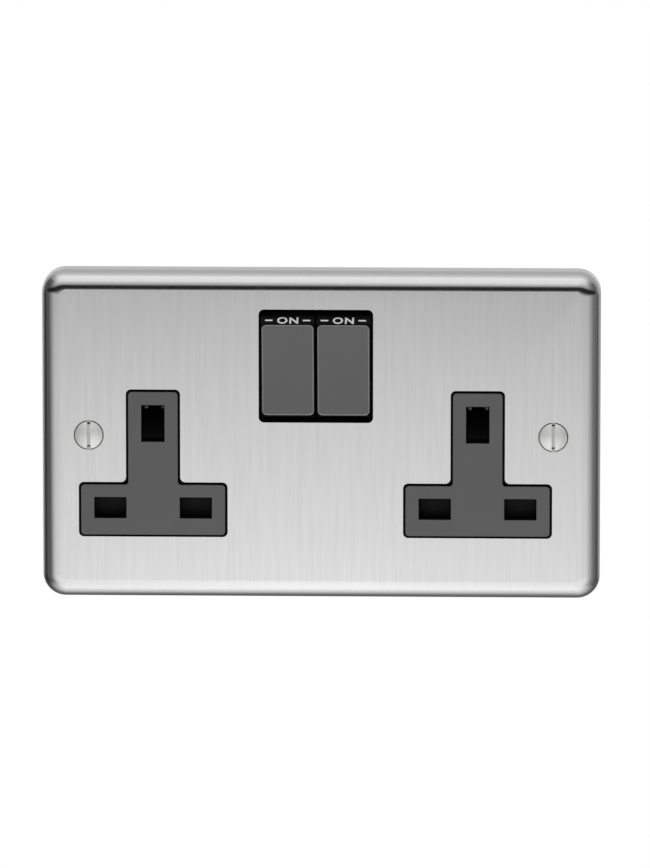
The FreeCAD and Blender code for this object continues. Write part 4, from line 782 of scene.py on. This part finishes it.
@dataclass
class Studio:
    """White studio with soft light, and a long-lens camera at the photo's angle.

    The studio's brightness is drawn by direction, over the plate and beside it, from straight
    ahead at 0 degrees to straight behind at 180. The steel mirrors it; the camera sees white.
    """

    azimuth_deg: float = 1.7
    elevation_deg: float = 10.0
    distance_m: float = 2.5
    frame_height_mm: float = 225.2
    target_mm: tuple[float, float, float] = (1.07, -9.0, 0.6)
    sensor_mm: float = 36.0
    clip_m: tuple[float, float] = (0.01, 50.0)
    floor_drop_m: float = 0.2
    floor_half_m: float = 6.0
    lamp_place_m: tuple[float, float, float] = (0.0, -0.95, 1.36)
    lamp_size_m: tuple[float, float] = (2.4, 1.1)
    lamp_watts: float = 1.5
    over_bands: Stops = (
        (-180, 0.75), (-165, 0.6), (-150, 0.2), (-130, 0.15), (-112, 0.18), (-98, 0.3), (-80, 0.9),
        (-60, 1.5), (-35, 1.5), (-15.5, 1.36), (-10, 1.1), (-6, 0.6), (-3, 0.02), (14, 0.02), (22, 0.65),
        (34, 1.0), (52, 1.05), (68, 1.1), (86, 0.85), (108, 0.65), (150, 0.62), (166, 0.6), (180, 0.75))
    side_flags: Stops = (
        (-180, 1.0), (-130, 1.0), (-115, 0.4), (-102, 0.12), (-72, 0.08), (-60, 0.1), (-49, 0.36),
        (-37, 0.72), (-26, 0.84), (-14, 0.82), (-2, 1.08), (8, 0.84), (20, 0.86), (30, 0.82), (48, 0.42),
        (65, 0.17), (80, 0.12), (92, 0.25), (110, 0.8), (180, 1.0))
    flag_height: tuple[float, float] = (0.55, 0.92)  # the flags fade from one to the other, up and down

    def build(self) -> None:
        """Set the camera, the floor, the surroundings and the lamp."""
        bpy.context.scene.view_settings.view_transform = "Standard"
        self.add_camera()
        self.add_floor()
        self.light_surroundings()
        self.add_lamp()

    def add_camera(self) -> None:
        """Aim a long lens at the plate from the photo's angle."""
        azimuth = math.radians(self.azimuth_deg)
        elevation = math.radians(self.elevation_deg)
        way = Vector((math.sin(azimuth) * math.cos(elevation), -math.cos(azimuth) * math.cos(elevation),
                      math.sin(elevation)))
        data = bpy.data.cameras.new("long_lens")
        camera = bpy.data.objects.new("camera", data)
        bpy.context.scene.collection.objects.link(camera)
        camera.location = Vector(self.target_mm) * MM + way * self.distance_m
        camera.rotation_euler = (-way).to_track_quat("-Z", "Y").to_euler()
        data.sensor_width = self.sensor_mm
        data.lens = self.sensor_mm * self.distance_m / (self.frame_height_mm * MM)
        data.clip_start, data.clip_end = self.clip_m
        bpy.context.scene.camera = camera

    def add_floor(self) -> None:
        """Lay a pale floor well below the plate, lit as the studio's bands say."""
        clear_selection()
        bpy.ops.mesh.primitive_plane_add(size=2 * self.floor_half_m, location=(0, 0, -self.floor_drop_m))
        floor = bpy.context.object
        floor.name = "floor"
        settle(floor)
        material = bpy.data.materials.new("pale_floor")
        material.use_nodes = True
        place = self.clear_tree(material.node_tree).outputs["Object"]
        self.show_bands(material.node_tree, place, "ShaderNodeEmission", "ShaderNodeOutputMaterial")
        floor.data.materials.append(material)

    def light_surroundings(self) -> None:
        """Surround the plate with a studio whose bands the steel mirrors."""
        world = bpy.data.worlds.new("studio")
        bpy.context.scene.world = world
        world.use_nodes = True
        way = self.clear_tree(world.node_tree).outputs["Generated"]
        self.show_bands(world.node_tree, way, "ShaderNodeBackground", "ShaderNodeOutputWorld")

    @staticmethod
    def clear_tree(tree: bpy.types.NodeTree) -> bpy.types.Node:
        """Empty a node tree and give it one node, which reads the coordinates."""
        tree.nodes.clear()
        return add_node(tree, "ShaderNodeTexCoord")

    def show_bands(self, tree: bpy.types.NodeTree, way: bpy.types.NodeSocket, light: str,
                   output: str) -> None:
        """Show plain white to the camera, and the studio's bands to all other rays.

        Args:
            tree: Node tree that takes the nodes.
            way: Direction from the plate, of any length.
            light: Node type that gives the light.
            output: Node type that ends the tree.
        """
        bands = add_node(tree, light, {"Strength": 1.0}, {"Color": self.draw_bands(tree, way)})
        white = add_node(tree, light, {"Color": (1.0, 1.0, 1.0, 1.0), "Strength": 1.0})
        path = add_node(tree, "ShaderNodeLightPath")
        both = add_node(tree, "ShaderNodeMixShader",
                        links={0: path.outputs["Is Camera Ray"], 1: bands.outputs[0], 2: white.outputs[0]})
        add_node(tree, output, links={"Surface": both.outputs[0]})

    def draw_bands(self, tree: bpy.types.NodeTree, way: bpy.types.NodeSocket) -> bpy.types.NodeSocket:
        """Draw the studio by direction: bands over the plate, and darker flags beside it.

        Args:
            tree: Node tree that takes the nodes.
            way: Direction from the plate, of any length.

        Returns:
            Brightness as a grey colour.
        """
        unit = add_node(tree, "ShaderNodeVectorMath", {"operation": "NORMALIZE"}, {0: way})
        parts = add_node(tree, "ShaderNodeSeparateXYZ", links={"Vector": unit.outputs["Vector"]})
        ahead = add_node(tree, "ShaderNodeMath", {"operation": "MULTIPLY", 1: -1.0}, {0: parts.outputs["Y"]})
        bands = self.draw_turn(tree, parts.outputs["Z"], ahead.outputs[0], self.over_bands)
        flags = self.draw_turn(tree, parts.outputs["X"], ahead.outputs[0], self.side_flags)
        height = add_node(tree, "ShaderNodeMath", {"operation": "ABSOLUTE"}, {0: parts.outputs["Z"]})
        clear_of_flags = add_node(tree, "ShaderNodeMapRange",
                                  {"From Min": self.flag_height[0], "From Max": self.flag_height[1]},
                                  {"Value": height.outputs[0]})
        share = add_node(tree, "ShaderNodeMix", {"data_type": "RGBA"},
                         {"Factor": clear_of_flags.outputs["Result"]})
        tree.links.new(flags, share.inputs["A"])
        share.inputs["B"].default_value = (1.0, 1.0, 1.0, 1.0)
        both = add_node(tree, "ShaderNodeMix", {"data_type": "RGBA", "blend_type": "MULTIPLY", "Factor": 1.0})
        tree.links.new(bands, both.inputs["A"])
        tree.links.new(share.outputs["Result"], both.inputs["B"])
        return both.outputs["Result"]

    @staticmethod
    def draw_turn(tree: bpy.types.NodeTree, aside: bpy.types.NodeSocket, ahead: bpy.types.NodeSocket,
                  stops: Stops) -> bpy.types.NodeSocket:
        """Draw grey by the angle from straight ahead, over a full turn.

        Args:
            tree: Node tree that takes the nodes.
            aside: Part of the direction upwards or to the right.
            ahead: Part of the direction away from the plate's face.
            stops: Pairs of angle in degrees and linear brightness.

        Returns:
            Colour output of the ramp.
        """
        angle = add_node(tree, "ShaderNodeMath", {"operation": "ARCTAN2"}, {0: aside, 1: ahead})
        part = add_node(tree, "ShaderNodeMapRange", {"From Min": -math.pi, "From Max": math.pi},
                        {"Value": angle.outputs[0]})
        ramp = add_node(tree, "ShaderNodeValToRGB", links={"Fac": part.outputs["Result"]})
        elements = ramp.color_ramp.elements
        for degrees, _ in stops[1:-1]:
            elements.new(0.5 + degrees / 360)
        for element, (degrees, value) in zip(elements, stops):
            element.position = 0.5 + degrees / 360
            element.color = (value, value, value, 1.0)
        return ramp.outputs["Color"]

    def add_lamp(self) -> None:
        """Hang a broad soft lamp over the front, facing the plate."""
        data = bpy.data.lights.new("overhead", "AREA")
        data.shape = "RECTANGLE"
        data.size, data.size_y = self.lamp_size_m
        data.energy = self.lamp_watts
        lamp = bpy.data.objects.new("overhead", data)
        bpy.context.scene.collection.objects.link(lamp)
        lamp.location = self.lamp_place_m
        lamp.rotation_euler = (-Vector(self.lamp_place_m)).to_track_quat("-Z", "Y").to_euler()


def main() -> None:
    """Build and dress the socket piece by piece."""
    logging.basicConfig(level=logging.INFO, format="%(name)s %(message)s")
    Plate().build()
    for side in Side:
        SocketUnit(side).build()
        Rocker(side).build()
    Mechanism().build()
    Studio().build()


if __name__ == "__main__":
    main()
